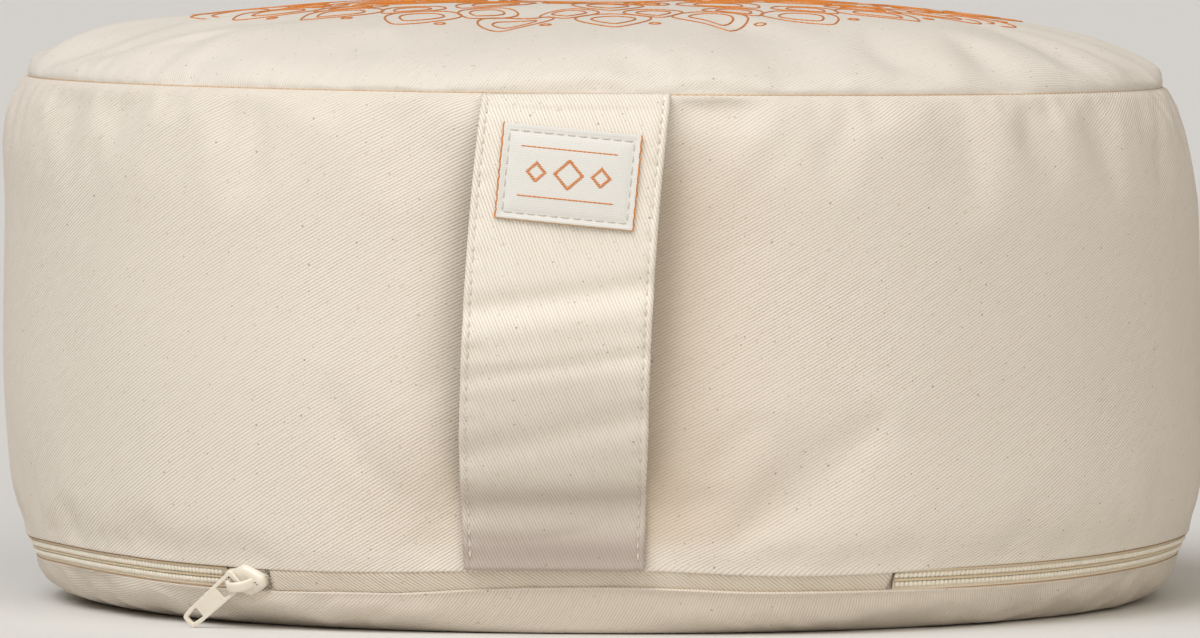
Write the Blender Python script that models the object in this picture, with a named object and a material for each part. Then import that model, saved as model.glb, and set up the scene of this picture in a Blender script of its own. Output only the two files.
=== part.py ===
# Zafu meditation cushion: a round, firmly filled cushion of undyed cotton twill. A strap handle with
# a small label is sewn on at the front, and a coil zip runs round the lower seam behind a guard strip.
# Sizes are in millimetres and become metres as each mesh is made. Angles are in degrees round the
# cushion, from its front (-Y) and positive towards +X. Heights are above the floor that it rests on.

import math

import bmesh
import bpy
import numpy as np

MM = 0.001

# Driving dimensions
WALL_RADIUS = 175.0
SEAM_HEIGHT = 151.0
CROWN_RISE = 22.4
CROWN_RADIUS = 166.0
FLAT_RADIUS = 149.0
GAP = 0.5

# The crown rises from the seam as a rounded dome: rise * (1 - share^CROWN_POWER)^(1 / CROWN_ROUND)
CROWN_POWER = 3.0
CROWN_ROUND = 2.2
CROWN_ROWS = (0.995, 0.978, 0.95, 0.915, 0.87, 0.81, 0.73, 0.63, 0.5, 0.35, 0.18)

# Half section of the filled body, each row a radius and a height. Smooth curves join the rows.
UNDERSIDE = ((FLAT_RADIUS, 0.0), (155.5, 1.0), (161.0, 3.8), (164.8, 8.0), (166.6, 12.4))
WALL = (
    (170.0, 20.0), (171.4, 26.0), (172.9, 36.0), (174.2, 52.0), (174.9, 70.0), (174.8, 90.0),
    (174.2, 110.0), (173.5, 126.0), (172.6, 137.0), (171.4, 143.5), (169.2, 148.4),
)
SEAM_FLOOR = (165.6, SEAM_HEIGHT)
UNDERSIDE_ROWS = 6
WALL_ROWS = 26

# The zip band lies in a shallow channel between the two lower seams
BAND_LOW = (166.8, 13.0)
BAND_HIGH = (169.6, 19.4)
CHANNEL_DEPTH = 2.6

# Columns of the body's mesh: from angle, to angle, number of steps
COLUMNS = ((-24.0, 18.0, 20), (18.0, 81.0, 18), (81.0, 279.0, 42), (279.0, 336.0, 16))

# Arcs round the wall count from this angle, which lies to the left of the slider
ARC_START = -80.0

# The lower seams hang lower beside the strap than behind it: angle, drop
SEAM_SAG = (
    (-180.0, 0.0), (-110.0, 0.1), (-86.0, 0.5), (-69.0, -0.1), (-55.0, 0.7), (-47.0, 1.4),
    (-40.0, 1.8), (-33.0, 2.0), (-26.0, 1.8), (-19.0, 1.6), (-12.0, 0.6), (-4.0, 0.0),
    (3.0, 0.0), (9.0, 0.5), (14.0, 1.2), (20.0, 1.45), (28.0, 1.45), (36.0, 1.4), (46.0, 1.25),
    (57.0, 0.8), (68.0, 0.2), (80.0, -0.2), (110.0, 0.0), (180.0, 0.0),
)

# The strap draws the lower seam in: fully up to one height, and not at all above the other
FOOT_PULL = {"angle": -4.5, "half_width": 17.0, "depth": 10.0, "starts": 66.0, "whole": 22.0}

# Slow unevenness of the wall: waves round the cushion, size, phase in degrees
WALL_WAVES = ((3, 0.45, 215.0), (5, 0.35, 300.0), (8, 0.2, 10.0))

# Strap handle: one folded strip, sewn into the upper seam and above the guard strip
STRAP_THICKNESS = 2.2
STRAP_CLEARANCE = 1.35
STRAP_STEEP = 1.4
STRAP_TOP_WIDTH = 52.6
STRAP_FOOT = {"height": 19.6, "width": 50.4, "narrows_from": 58.0}

# The strap's middle line curves to the left: furthest at one height, and how fast it comes back
STRAP_MIDDLE = {"leftmost": -13.0, "height": 42.0, "curve": 0.00054}
STRAP_BOW = 280.0
STRAP_ROWS = 48
STRAP_COLUMNS = 9

# How far the strap's outer face stands in front of the axis: height, distance
STRAP_PATH = (
    (151.0, 168.6), (148.0, 172.6), (143.5, 175.6), (136.0, 177.6), (122.0, 179.0), (108.0, 179.9),
    (97.0, 180.6), (88.0, 180.8), (80.0, 180.4), (72.0, 179.4), (64.0, 177.8), (57.0, 175.9),
    (51.0, 173.8), (46.0, 171.7), (42.5, 169.6), (40.0, 167.6), (37.5, 166.2), (34.5, 165.6),
    (31.0, 165.4), (28.0, 164.9), (25.0, 164.1), (22.0, 163.0), (19.6, 162.0),
)

# Slack in the strap: height at its left edge, height at its right edge, half width, depth.
# A negative depth stands out.
STRAP_FOLDS = (
    (91.5, 98.5, 3.6, 1.1),
    (84.0, 91.0, 4.0, -0.7),
    (72.5, 79.0, 2.6, 0.8),
    (51.5, 62.0, 4.4, 1.2),
    (36.0, 39.5, 2.8, 0.9),
    (24.0, 28.0, 3.0, 0.5),
)

# The wall is pressed in behind the strap, which leaves room for the fingers: height, depth
VALLEY = (
    (20.0, 0.0), (28.0, 2.2), (42.0, 6.8), (60.0, 9.0), (90.0, 9.4), (112.0, 8.4), (130.0, 5.2),
    (143.0, 1.6), (151.0, 0.0),
)
# It is whole this near the strap's middle, and ends this far to its left and to its right
VALLEY_FLAT = 19.0
VALLEY_REACH = {"left": 41.0, "right": 57.0}

# Folds in the wall: arc from the front and height at one end, the same at the other, half width,
# depth. A negative depth stands out.
WALL_FOLDS = (
    (-196.0, 147.0, -150.0, 141.0, 9.0, 1.7),
    (-116.0, 146.0, -92.0, 136.0, 8.0, 1.1),
    (108.0, 147.0, 112.0, 124.0, 9.0, 1.2),
    (124.0, 146.0, 128.0, 128.0, 7.0, -0.8),
    (139.0, 146.0, 146.0, 124.0, 9.0, 1.3),
    (167.0, 145.0, 177.0, 120.0, 9.0, 1.4),
    (22.0, 149.0, 42.0, 145.5, 5.0, 2.0),
    (-60.0, 148.0, -48.0, 132.0, 9.0, 0.9),
    (196.0, 40.0, 232.0, 30.0, 10.0, 1.2),
    (-232.0, 34.0, -205.0, 42.0, 10.0, 1.1),
    (262.0, 146.0, 270.0, 120.0, 11.0, 1.5),
    (330.0, 147.0, 322.0, 124.0, 10.0, 1.4),
    (402.0, 146.0, 414.0, 128.0, 10.0, 1.3),
    (476.0, 147.0, 470.0, 122.0, 11.0, 1.5),
    (545.0, 146.0, 556.0, 126.0, 10.0, 1.3),
    (618.0, 147.0, 612.0, 121.0, 11.0, 1.5),
    (380.0, 34.0, 430.0, 30.0, 11.0, 1.2),
    (590.0, 31.0, 640.0, 36.0, 11.0, 1.2),
    (-66.0, 34.0, -40.0, 35.0, 7.0, 1.4),
    (20.0, 37.0, 66.0, 34.0, 7.0, 1.4),
)

# Folds in the crown, in plan: x, y at one end, x, y at the other, half width, depth
CROWN_FOLDS = (
    (-160.0, -41.0, -131.0, -76.0, 7.0, 2.4),
    (-134.0, -73.0, -84.0, -84.0, 8.0, 1.7),
    (-154.0, -20.0, -116.0, -38.0, 11.0, -2.2),
    (-150.0, -34.0, -110.0, -62.0, 10.0, -1.2),
    (-146.0, -78.0, -104.0, -106.0, 12.0, -1.1),
    (96.0, -136.0, 76.0, -128.0, 7.0, 1.4),
    (114.0, -119.0, 104.0, -104.0, 8.0, 1.2),
    (140.0, -88.0, 122.0, -66.0, 8.0, 1.3),
    (158.0, -50.0, 132.0, -44.0, 8.0, 1.2),
    (164.0, -18.0, 136.0, -12.0, 9.0, 1.2),
    (50.0, -148.0, 84.0, -134.0, 7.0, 0.8),
    (-116.0, -110.0, -46.0, -138.0, 9.0, 0.9),
    (158.0, 44.0, 128.0, 30.0, 10.0, 1.4),
    (128.0, 104.0, 100.0, 84.0, 10.0, 1.5),
    (72.0, 148.0, 60.0, 116.0, 10.0, 1.4),
    (6.0, 164.0, 2.0, 130.0, 11.0, 1.5),
    (-64.0, 151.0, -46.0, 120.0, 10.0, 1.4),
    (-122.0, 110.0, -100.0, 86.0, 10.0, 1.5),
    (-158.0, 46.0, -124.0, 38.0, 10.0, 1.5),
)

# Folds in the rounded edge of the underside, in plan as above
UNDERSIDE_FOLDS = (
    (150.0, -72.0, 112.0, -112.0, 6.0, 1.5),
    (98.0, -124.0, 124.0, -108.0, 5.0, 1.0),
    (-150.0, -64.0, -140.0, -88.0, 6.0, 1.1),
    (150.0, 76.0, 118.0, 108.0, 6.0, 1.2),
    (-30.0, 162.0, -84.0, 140.0, 6.0, 1.2),
)

# Label: a woven tag sewn to the strap a little askew
LABEL_WIDTH = 38.3
LABEL_HEIGHT = 26.4
LABEL_CENTRE = (-8.7, 128.5)
LABEL_TURN = -5.6
LABEL_THICKNESS = 1.0
LABEL_GRID = (10, 7)

# Zip: its two rows of coil on a tape run round the back, from the slider to the guard strip's end
ZIP_FROM = 28.9
ZIP_TO = 360.0 - 38.5
ZIP_SECTION = (
    (-2.9, 0.4), (2.9, 0.4), (2.9, 1.0), (2.5, 1.1), (2.1, 2.1), (1.35, 2.5), (0.6, 2.1), (0.25, 1.2),
    (-0.25, 1.2), (-0.6, 2.1), (-1.35, 2.5), (-2.1, 2.1), (-2.5, 1.1), (-2.9, 1.0),
)
GUARD_FROM = -33.2
GUARD_TO = 28.5
GUARD_SECTION = ((-2.9, 0.5), (2.9, 0.5), (2.9, 1.7), (1.4, 2.2), (-1.4, 2.2), (-2.9, 1.7))

# Slider: a plate over the coil, a keel between its rows and a bridge that holds the pull.
# Its outline is a list of lengths along the zip and half widths, from tail to nose.
SLIDER_ANGLE = -36.0
SLIDER_OUTLINE = ((-6.4, 2.6), (-5.8, 3.0), (-2.6, 3.7), (0.0, 4.5), (1.6, 4.3), (4.6, 2.9), (6.7, 1.2))
SLIDER_PLATE = (3.1, 4.7)
SLIDER_KEEL = {"length": 11.4, "width": 4.8, "from": 0.5}
BRIDGE_ENDS = (-4.3, 3.1)
BRIDGE_WIDTH = 2.2
BRIDGE_POST = 1.4
BRIDGE_INSIDE = 7.3
BRIDGE_TOP = 8.5
SLIDER_OVERLAP = 0.4
PROUD = 0.02

# Pull: a flat tab with a hole at each end; its bar lies under the bridge
PULL_LENGTH = 22.5
PULL_WIDTH = 6.2
PULL_TIP_WIDTH = 4.2
PULL_THICKNESS = 1.1
PULL_HEAD = (-1.6, 1.5, 5.75)
PULL_TIP = {"angle": -41.7, "radius": 171.4, "height": 3.1}
PULL_BAR = 0.6
PULL_CORNER = 1.2
PULL_TAPER = 2.6
PULL_HEAD_HOLE = {"from": 0.5, "to": 6.8, "half": 1.95}
PULL_TIP_HOLE = {"from": 17.0, "to": 20.6, "half": 1.5}

# Colours are linear red, green and blue
COTTON = {"colour": (0.75, 0.68, 0.56), "roughness": 0.9, "metallic": 0.0}
STRAP_COTTON = {"colour": (0.80, 0.72, 0.60), "roughness": 0.9, "metallic": 0.0}
LABEL_SATIN = {"colour": (0.81, 0.78, 0.71), "roughness": 0.7, "metallic": 0.0}
COIL_NYLON = {"colour": (0.71, 0.62, 0.45), "roughness": 0.45, "metallic": 0.0}
CREAM_ENAMEL = {"colour": (0.75, 0.68, 0.50), "roughness": 0.35, "metallic": 0.0}


def smoothstep(low, high, value):
    share = np.clip((np.asarray(value, float) - low) / (high - low), 0.0, 1.0)
    return share * share * (3.0 - 2.0 * share)


def spline(table, count):
    """Points at equal steps of length along a Catmull-Rom curve through the table's rows."""
    rows = np.array(table, float)
    padded = np.vstack([2 * rows[0] - rows[1], rows, 2 * rows[-1] - rows[-2]])
    steps = np.linspace(0.0, 1.0, 12, endpoint=False)[:, None]
    curve = []
    for before, start, end, after in zip(padded, padded[1:], padded[2:], padded[3:]):
        curve.append(
            0.5
            * (
                2 * start
                + (end - before) * steps
                + (2 * before - 5 * start + 4 * end - after) * steps**2
                + (3 * start - before - 3 * end + after) * steps**3
            )
        )
    curve = np.vstack([*curve, rows[-1]])
    along = np.r_[0.0, np.cumsum(np.linalg.norm(np.diff(curve, axis=0), axis=1))]
    wanted = np.linspace(0.0, along[-1], count)
    return np.stack([np.interp(wanted, along, column) for column in curve.T], axis=1)


def column(table, value):
    """The second column of a table at a value of its first, read smoothly."""
    curve = spline(table, 160)
    order = np.argsort(curve[:, 0])
    return np.interp(value, curve[order, 0], curve[order, 1])


def folds(table, along, up):
    """Depth of a table of folds at a place; each fold fades out towards its ends."""
    depth = np.zeros(np.broadcast(along, up).shape)
    for start_along, start_up, end_along, end_up, half_width, height in table:
        step = np.array([end_along - start_along, end_up - start_up])
        length = np.hypot(*step)
        step = step / length
        travelled = (along - start_along) * step[0] + (up - start_up) * step[1]
        aside = (up - start_up) * step[0] - (along - start_along) * step[1]
        beyond = np.maximum(0.0, np.abs(travelled - length / 2) - length / 4)
        beyond = beyond / (length / 4 + half_width)
        depth += height * np.exp(-((aside / half_width) ** 2)) * np.exp(-2.0 * beyond**2)
    return depth


def lean(angle, height):
    """How far the section stands out or in there, because the filling has settled unevenly."""
    sine, cosine = np.sin(np.radians(angle)), np.cos(np.radians(angle))
    upper = smoothstep(112.0, 148.0, height)
    lower = smoothstep(70.0, 20.0, height)
    waves = sum(size * np.sin(count * np.radians(angle) + math.radians(phase))
                for count, size, phase in WALL_WAVES)
    middle = 1.0 - upper - lower
    beside = ((angle - FOOT_PULL["angle"] + 180.0) % 360.0 - 180.0) / FOOT_PULL["half_width"]
    pulled = FOOT_PULL["depth"] * np.exp(-(beside**2))
    pulled = pulled * smoothstep(FOOT_PULL["starts"], FOOT_PULL["whole"], height)
    settled = (0.2 + 2.2 * sine + 1.2 * cosine) * lower
    return settled - pulled - 1.4 * sine * upper + waves * middle


def seam_lift(angle):
    """The upper seam stands a little higher on the left than on the right."""
    return -0.2 - 1.7 * np.sin(np.radians(angle))


def seam_sag(angle):
    return column(SEAM_SAG, (np.asarray(angle, float) + 180.0) % 360.0 - 180.0)


def wall_height(angle, height):
    """Where a height of the plain section lies at an angle, as the seams rise and sag."""
    lifted = height + seam_lift(angle) * smoothstep(100.0, 150.0, height)
    return lifted - seam_sag(angle) * smoothstep(64.0, 20.0, height)


def strap_centre(height):
    return STRAP_MIDDLE["leftmost"] + STRAP_MIDDLE["curve"] * (height - STRAP_MIDDLE["height"]) ** 2


def strap_width(height):
    narrow = smoothstep(STRAP_FOOT["narrows_from"], STRAP_FOOT["height"], height)
    return STRAP_TOP_WIDTH + narrow * (STRAP_FOOT["width"] - STRAP_TOP_WIDTH)


def valley(angle, height):
    sideways = WALL_RADIUS * np.sin(np.radians(angle)) - strap_centre(height)
    reach = np.where(sideways < 0, VALLEY_REACH["left"], VALLEY_REACH["right"])
    across = smoothstep(0.0, 1.0, (reach - np.abs(sideways)) / (reach - VALLEY_FLAT))
    return column(VALLEY, height) * across * (np.cos(np.radians(angle)) > 0)


def arc_of(angle):
    """Length round the wall from the front, from ARC_START degrees on."""
    turned = (np.asarray(angle, float) - ARC_START) % 360.0 + ARC_START
    return WALL_RADIUS * np.radians(turned)


def wall_dent(angle, height):
    fade = smoothstep(19.0, 27.0, height) * smoothstep(151.0, 146.5, height)
    arc = arc_of(angle)
    round_again = arc - 2 * math.pi * WALL_RADIUS
    depth = folds(WALL_FOLDS, arc, height) + folds(WALL_FOLDS, round_again, height)
    return depth * fade + valley(angle, height)


def wall_radius(angle, height):
    """Radius of the wall's outer face, between the zip channel and the upper seam."""
    outline = np.array(spline(WALL, 200).tolist() + [SEAM_FLOOR])
    unlifted = height - seam_lift(angle) * smoothstep(100.0, 150.0, height)
    unlifted = unlifted + seam_sag(angle) * smoothstep(64.0, 20.0, height)
    base = np.interp(unlifted, outline[:, 1], outline[:, 0])
    return base + lean(angle, height) - wall_dent(angle, height)


def cylinder_point(angle, radius, height):
    turn = np.radians(angle)
    return np.stack([radius * np.sin(turn), -radius * np.cos(turn), height + 0.0 * turn], axis=-1)


def band_frame(angle):
    """Origin, direction round, direction up and outward normal of the zip channel's floor."""
    turn = math.radians(angle)
    outward = np.array([math.sin(turn), -math.cos(turn), 0.0])
    around = np.array([math.cos(turn), math.sin(turn), 0.0])
    rise = np.array([BAND_HIGH[0] - BAND_LOW[0], BAND_HIGH[1] - BAND_LOW[1]])
    rise = rise / np.hypot(*rise)
    up = outward * rise[0] + np.array([0.0, 0.0, rise[1]])
    normal = outward * rise[1] - np.array([0.0, 0.0, rise[0]])
    middle = (np.array(BAND_LOW) + np.array(BAND_HIGH)) / 2
    sunk = middle[1] - float(seam_sag(angle))
    origin = outward * (middle[0] + float(lean(angle, middle[1]))) + np.array([0.0, 0.0, sunk])
    return origin - normal * CHANNEL_DEPTH, around, up, normal


def columns_between(start, end):
    """The body's own columns between two angles, with the two ends."""
    own = [angle + turn for angle in body_columns() for turn in (-360.0, 0.0, 360.0)]
    inside = sorted(angle for angle in own if start + 0.4 < angle < end - 0.4)
    return [start, *inside, end]


def body_columns():
    spans = [np.linspace(low, high, steps, endpoint=False) for low, high, steps in COLUMNS]
    return [float(angle) for angle in np.concatenate(spans)]


def material(name, finish):
    made = bpy.data.materials.new(name)
    made.use_nodes = True
    shader = made.node_tree.nodes["Principled BSDF"]
    shader.inputs["Base Color"].default_value = (*finish["colour"], 1.0)
    shader.inputs["Roughness"].default_value = finish["roughness"]
    shader.inputs["Metallic"].default_value = finish["metallic"]
    return made


def add_object(name, mesh, finish):
    for face in mesh.polygons:
        face.use_smooth = True
    mesh.set_sharp_from_angle(angle=math.radians(40.0))
    mesh.materials.append(material(name, finish))
    made = bpy.data.objects.new(name, mesh)
    bpy.context.scene.collection.objects.link(made)
    return made


def add_mesh(name, points, faces, finish):
    mesh = bpy.data.meshes.new(name)
    mesh.from_pydata([tuple(point) for point in np.asarray(points) * MM], [], faces)
    shell = bmesh.new()
    shell.from_mesh(mesh)
    bmesh.ops.recalc_face_normals(shell, faces=shell.faces)
    bmesh.ops.triangulate(shell, faces=[face for face in shell.faces if len(face.verts) > 4])
    shell.to_mesh(mesh)
    shell.free()
    return add_object(name, mesh, finish)


def rings_to_faces(ring_count, ring_size, closed):
    """Quads between neighbouring rings; a closed stack joins its last ring to its first."""
    faces = []
    for ring in range(ring_count if closed else ring_count - 1):
        here, there = ring * ring_size, (ring + 1) % ring_count * ring_size
        for place in range(ring_size):
            beyond = (place + 1) % ring_size
            faces.append((here + place, here + beyond, there + beyond, there + place))
    return faces


def body_outline():
    """Rows of the half section from the flat base to the crown: radius, height and which part."""
    rows = [(*row, "underside") for row in spline(UNDERSIDE, UNDERSIDE_ROWS)]
    rows += [(*BAND_LOW, "channel"), (*BAND_HIGH, "channel")]
    rows += [(*row, "wall") for row in spline(WALL, WALL_ROWS)]
    rows += [(*SEAM_FLOOR, "seam")]
    for share in CROWN_ROWS:
        rise = CROWN_RISE * (1.0 - share**CROWN_POWER) ** (1.0 / CROWN_ROUND)
        rows.append((CROWN_RADIUS * share, SEAM_HEIGHT + rise, "crown"))
    return rows


def body_ring(row, slope, angles):
    """One ring of the body: the row's point at each angle, leaned, lifted and folded."""
    radius, height, part = row
    if part == "channel":
        frames = [band_frame(angle) for angle in angles]
        side = 1.0 if height > BAND_LOW[1] else -1.0
        half = math.dist(BAND_LOW, BAND_HIGH) / 2
        return np.array([origin + up * side * half for origin, _, up, _ in frames])
    if part == "wall":
        lifted = wall_height(angles, height)
        return cylinder_point(angles, wall_radius(angles, lifted), lifted)
    if part == "underside":
        settle = 5.5 * np.sin(np.radians(angles)) + 1.5 * np.cos(np.radians(angles))
        share = smoothstep(166.0, FLAT_RADIUS, radius)
        leaned = radius + settle * share + lean(angles, height) * (1.0 - share)
        flat = cylinder_point(angles, leaned, height - seam_sag(angles) * smoothstep(2.0, 12.4, height))
        pressed = folds(UNDERSIDE_FOLDS, flat[:, 0], flat[:, 1]) * smoothstep(0.5, 4.0, height)
    else:
        share = radius / CROWN_RADIUS
        leaned = radius + lean(angles, SEAM_HEIGHT) * share**2
        flat = cylinder_point(angles, leaned, height + seam_lift(angles) * share**4)
        pressed = folds(CROWN_FOLDS, flat[:, 0], flat[:, 1]) * smoothstep(1.0, 0.94, share)
    return cylinder_point(angles, leaned - pressed * slope[0], flat[:, 2] - pressed * slope[1])


def build_body():
    angles = np.array(body_columns())
    rows = body_outline()
    section = np.array([row[:2] for row in rows])
    tangent = np.gradient(section, axis=0)
    slopes = np.stack([tangent[:, 1], -tangent[:, 0]], axis=1)
    slopes /= np.linalg.norm(slopes, axis=1)[:, None]
    rings = [body_ring(row, slope, angles) for row, slope in zip(rows, slopes)]
    points = np.vstack([*rings, (0.0, 0.0, 0.0), (0.0, 0.0, SEAM_HEIGHT + CROWN_RISE)])
    size = len(angles)
    faces = rings_to_faces(len(rings), size, closed=False)
    base, apex = len(points) - 2, len(points) - 1
    last = (len(rings) - 1) * size
    for place in range(size):
        beyond = (place + 1) % size
        faces.append((base, beyond, place))
        faces.append((apex, last + place, last + beyond))
    return add_mesh("cushion_body", points, faces, COTTON)


def strap_distance(across, height):
    """How far the strap's outer face stands in front of the axis, at a place seen from the front."""
    share = (across - strap_centre(height)) / (STRAP_TOP_WIDTH / 2)
    slack = 0.0
    for left, right, half_width, depth in STRAP_FOLDS:
        middle = left + (right - left) * (share + 1.0) / 2
        slack = slack + depth * np.exp(-(((height - middle) / half_width) ** 2))
    own = column(STRAP_PATH, height) - across**2 / (2 * STRAP_BOW) - slack
    angle = np.degrees(np.arcsin(across / WALL_RADIUS))
    radius = wall_radius(angle, np.clip(height, 20.0, 151.0))
    behind = np.sqrt(np.maximum(radius**2 - across**2, 0.0))
    steep = STRAP_STEEP * smoothstep(142.0, 149.0, height)
    return np.maximum(own, behind + STRAP_CLEARANCE + STRAP_THICKNESS + steep)


def sheet(name, front, thickness, finish):
    """A closed sheet from a grid of points on its front; its back lies behind along the normals."""
    down = np.gradient(front, axis=0)
    across = np.gradient(front, axis=1)
    normal = np.cross(down, across)
    normal /= np.linalg.norm(normal, axis=2)[:, :, None]
    normal *= -np.sign(normal[:, :, 1:2])
    back = front - normal * thickness
    rows, columns = front.shape[:2]
    points = np.vstack([front.reshape(-1, 3), back.reshape(-1, 3)])
    index = np.arange(rows * columns).reshape(rows, columns)
    faces = []
    for layer in (index, index + rows * columns):
        for row in range(rows - 1):
            for place in range(columns - 1):
                faces.append((layer[row, place], layer[row, place + 1], layer[row + 1, place + 1],
                              layer[row + 1, place]))
    edge = [*index[0, :-1], *index[:-1, -1], *index[-1, :0:-1], *index[:0:-1, 0]]
    for here, there in zip(edge, edge[1:] + edge[:1]):
        faces.append((here, there, there + rows * columns, here + rows * columns))
    faces = [tuple(int(corner) for corner in face) for face in faces]
    return add_mesh(name, points, faces, finish)


def build_strap():
    heights = spline(STRAP_PATH, STRAP_ROWS)[:, :1]
    across = strap_centre(heights) + strap_width(heights) / 2 * np.linspace(-1.0, 1.0, STRAP_COLUMNS)
    tall = np.broadcast_to(heights, across.shape)
    front = np.stack([across, -strap_distance(across, tall), tall], axis=-1)
    return sheet("handle_strap", front, STRAP_THICKNESS, STRAP_COTTON)


def build_label():
    columns, rows = LABEL_GRID
    sides = np.linspace(-LABEL_WIDTH / 2, LABEL_WIDTH / 2, columns)
    side, up = np.meshgrid(sides, np.linspace(LABEL_HEIGHT / 2, -LABEL_HEIGHT / 2, rows))
    turn = math.radians(LABEL_TURN)
    across = LABEL_CENTRE[0] + side * math.cos(turn) - up * math.sin(turn)
    tall = LABEL_CENTRE[1] + side * math.sin(turn) + up * math.cos(turn)
    distance = strap_distance(across, tall) + GAP + LABEL_THICKNESS
    front = np.stack([across, -distance, tall], axis=-1)
    return sheet("handle_label", front, LABEL_THICKNESS, LABEL_SATIN)


def build_band(name, section, start, end, finish):
    """A strip of one section that runs along the zip channel."""
    points = []
    for angle in columns_between(start, end):
        origin, _, up, normal = band_frame(angle)
        points += [origin + up * side + normal * out for side, out in section]
    size = len(section)
    count = len(points) // size
    faces = rings_to_faces(count, size, closed=False)
    faces += [tuple(range(size)), tuple(range((count - 1) * size, count * size))]
    return add_mesh(name, points, faces, finish)


def prism(outline, low, high):
    """A flat plate in the slider's own axes: its outline between two heights."""
    points = [(x, y, z) for z in (low, high) for x, y in outline]
    size = len(outline)
    faces = rings_to_faces(2, size, closed=False)
    faces += [tuple(range(size)), tuple(range(size, 2 * size))]
    return points, faces


def block(low, high):
    outline = [(low[0], low[1]), (high[0], low[1]), (high[0], high[1]), (low[0], high[1])]
    return prism(outline, low[2], high[2])


def placed(points, frame):
    origin, around, up, normal = frame
    return [origin + around * x + up * y + normal * z for x, y, z in points]


def combine(target, other, operation):
    """Joins or cuts one helper into an object, and keeps the helper out of the model."""
    other.hide_render = True
    other.display_type = "WIRE"
    change = target.modifiers.new(other.name, "BOOLEAN")
    change.operation = operation
    change.object = other


def build_slider():
    frame = band_frame(SLIDER_ANGLE)
    outline = [(x, -y) for x, y in SLIDER_OUTLINE] + [(x, y) for x, y in reversed(SLIDER_OUTLINE)]
    points, faces = prism(outline, *SLIDER_PLATE)
    slider = add_mesh("zip_slider", placed(points, frame), faces, CREAM_ENAMEL)
    length, width, root = SLIDER_KEEL["length"] / 2, SLIDER_KEEL["width"] / 2, SLIDER_KEEL["from"]
    sunk = SLIDER_PLATE[1] - SLIDER_OVERLAP
    capped = BRIDGE_TOP - SLIDER_OVERLAP
    rear, nose = BRIDGE_ENDS
    half = BRIDGE_WIDTH / 2
    blocks = {
        "slider_keel": block((-length, -width, root), (length, width, sunk)),
        "slider_rear_post": block((rear, -half, sunk), (rear + BRIDGE_POST, half, capped)),
        "slider_nose_post": block((nose - BRIDGE_POST, -half, sunk), (nose, half, capped)),
        "slider_bridge": block(
            (rear + SLIDER_OVERLAP, -half - PROUD, BRIDGE_INSIDE),
            (nose - SLIDER_OVERLAP, half + PROUD, BRIDGE_TOP),
        ),
    }
    for name, (corners, sides) in blocks.items():
        combine(slider, add_mesh(name, placed(corners, frame), sides, CREAM_ENAMEL), "UNION")
    return slider


def pull_outline():
    """The tab's outline, along it from just before the bar and across it."""
    half, tip_half = PULL_WIDTH / 2, PULL_TIP_WIDTH / 2
    start, end = -PULL_BAR, PULL_LENGTH - PULL_BAR
    side = [
        (start, half - PULL_CORNER), (start + PULL_CORNER / 2, half), (end - PULL_TAPER, half),
        (end - PULL_BAR, tip_half), (end, tip_half - PULL_BAR),
    ]
    return [(x, -y) for x, y in side] + [(x, y) for x, y in reversed(side)]


def build_pull():
    origin, around, up, normal = band_frame(SLIDER_ANGLE)
    head = origin + around * PULL_HEAD[0] + up * PULL_HEAD[1] + normal * PULL_HEAD[2]
    tip = cylinder_point(PULL_TIP["angle"], PULL_TIP["radius"], PULL_TIP["height"])
    along = (tip - head) / np.linalg.norm(tip - head)
    sideways = np.cross(normal, along)
    sideways /= np.linalg.norm(sideways)
    frame = (head, along, sideways, np.cross(along, sideways))
    points, faces = prism(pull_outline(), -PULL_THICKNESS / 2, PULL_THICKNESS / 2)
    pull = add_mesh("zip_pull", placed(points, frame), faces, CREAM_ENAMEL)
    for name, hole in (("pull_head_hole", PULL_HEAD_HOLE), ("pull_tip_hole", PULL_TIP_HOLE)):
        low = (hole["from"], -hole["half"], -PULL_THICKNESS)
        high = (hole["to"], hole["half"], PULL_THICKNESS)
        corners, sides = block(low, high)
        combine(pull, add_mesh(name, placed(corners, frame), sides, CREAM_ENAMEL), "DIFFERENCE")
    return pull


def main():
    for existing in list(bpy.data.objects):
        bpy.data.objects.remove(existing, do_unlink=True)
    build_body()
    build_strap()
    build_label()
    build_band("zip_chain", ZIP_SECTION, ZIP_FROM, ZIP_TO, COIL_NYLON)
    build_band("zip_guard", GUARD_SECTION, GUARD_FROM, GUARD_TO, COTTON)
    build_slider()
    build_pull()


main()
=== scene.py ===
import math

import bmesh
import bpy
import numpy as np
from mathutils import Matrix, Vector
from mathutils.bvhtree import BVHTree


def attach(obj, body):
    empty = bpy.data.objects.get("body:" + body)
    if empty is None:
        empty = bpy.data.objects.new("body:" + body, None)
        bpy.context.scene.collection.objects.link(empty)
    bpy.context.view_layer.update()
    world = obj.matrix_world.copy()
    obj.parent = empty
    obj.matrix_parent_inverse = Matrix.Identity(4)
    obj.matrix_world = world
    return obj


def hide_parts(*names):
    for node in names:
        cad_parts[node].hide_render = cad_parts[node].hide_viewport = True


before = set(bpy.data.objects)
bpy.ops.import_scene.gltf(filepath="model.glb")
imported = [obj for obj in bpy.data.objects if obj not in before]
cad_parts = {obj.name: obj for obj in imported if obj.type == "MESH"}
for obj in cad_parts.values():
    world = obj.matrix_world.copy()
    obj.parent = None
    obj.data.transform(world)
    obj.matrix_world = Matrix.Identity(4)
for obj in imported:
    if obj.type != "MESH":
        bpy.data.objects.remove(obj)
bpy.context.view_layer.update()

# Zafu meditation cushion: cover, strap handle, label and zip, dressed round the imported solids.
# Sizes are in millimetres and turn into metres as each mesh is made. Angles are in degrees round
# the cushion, from its front (-Y) and positive towards +X.
mm = 0.001

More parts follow.
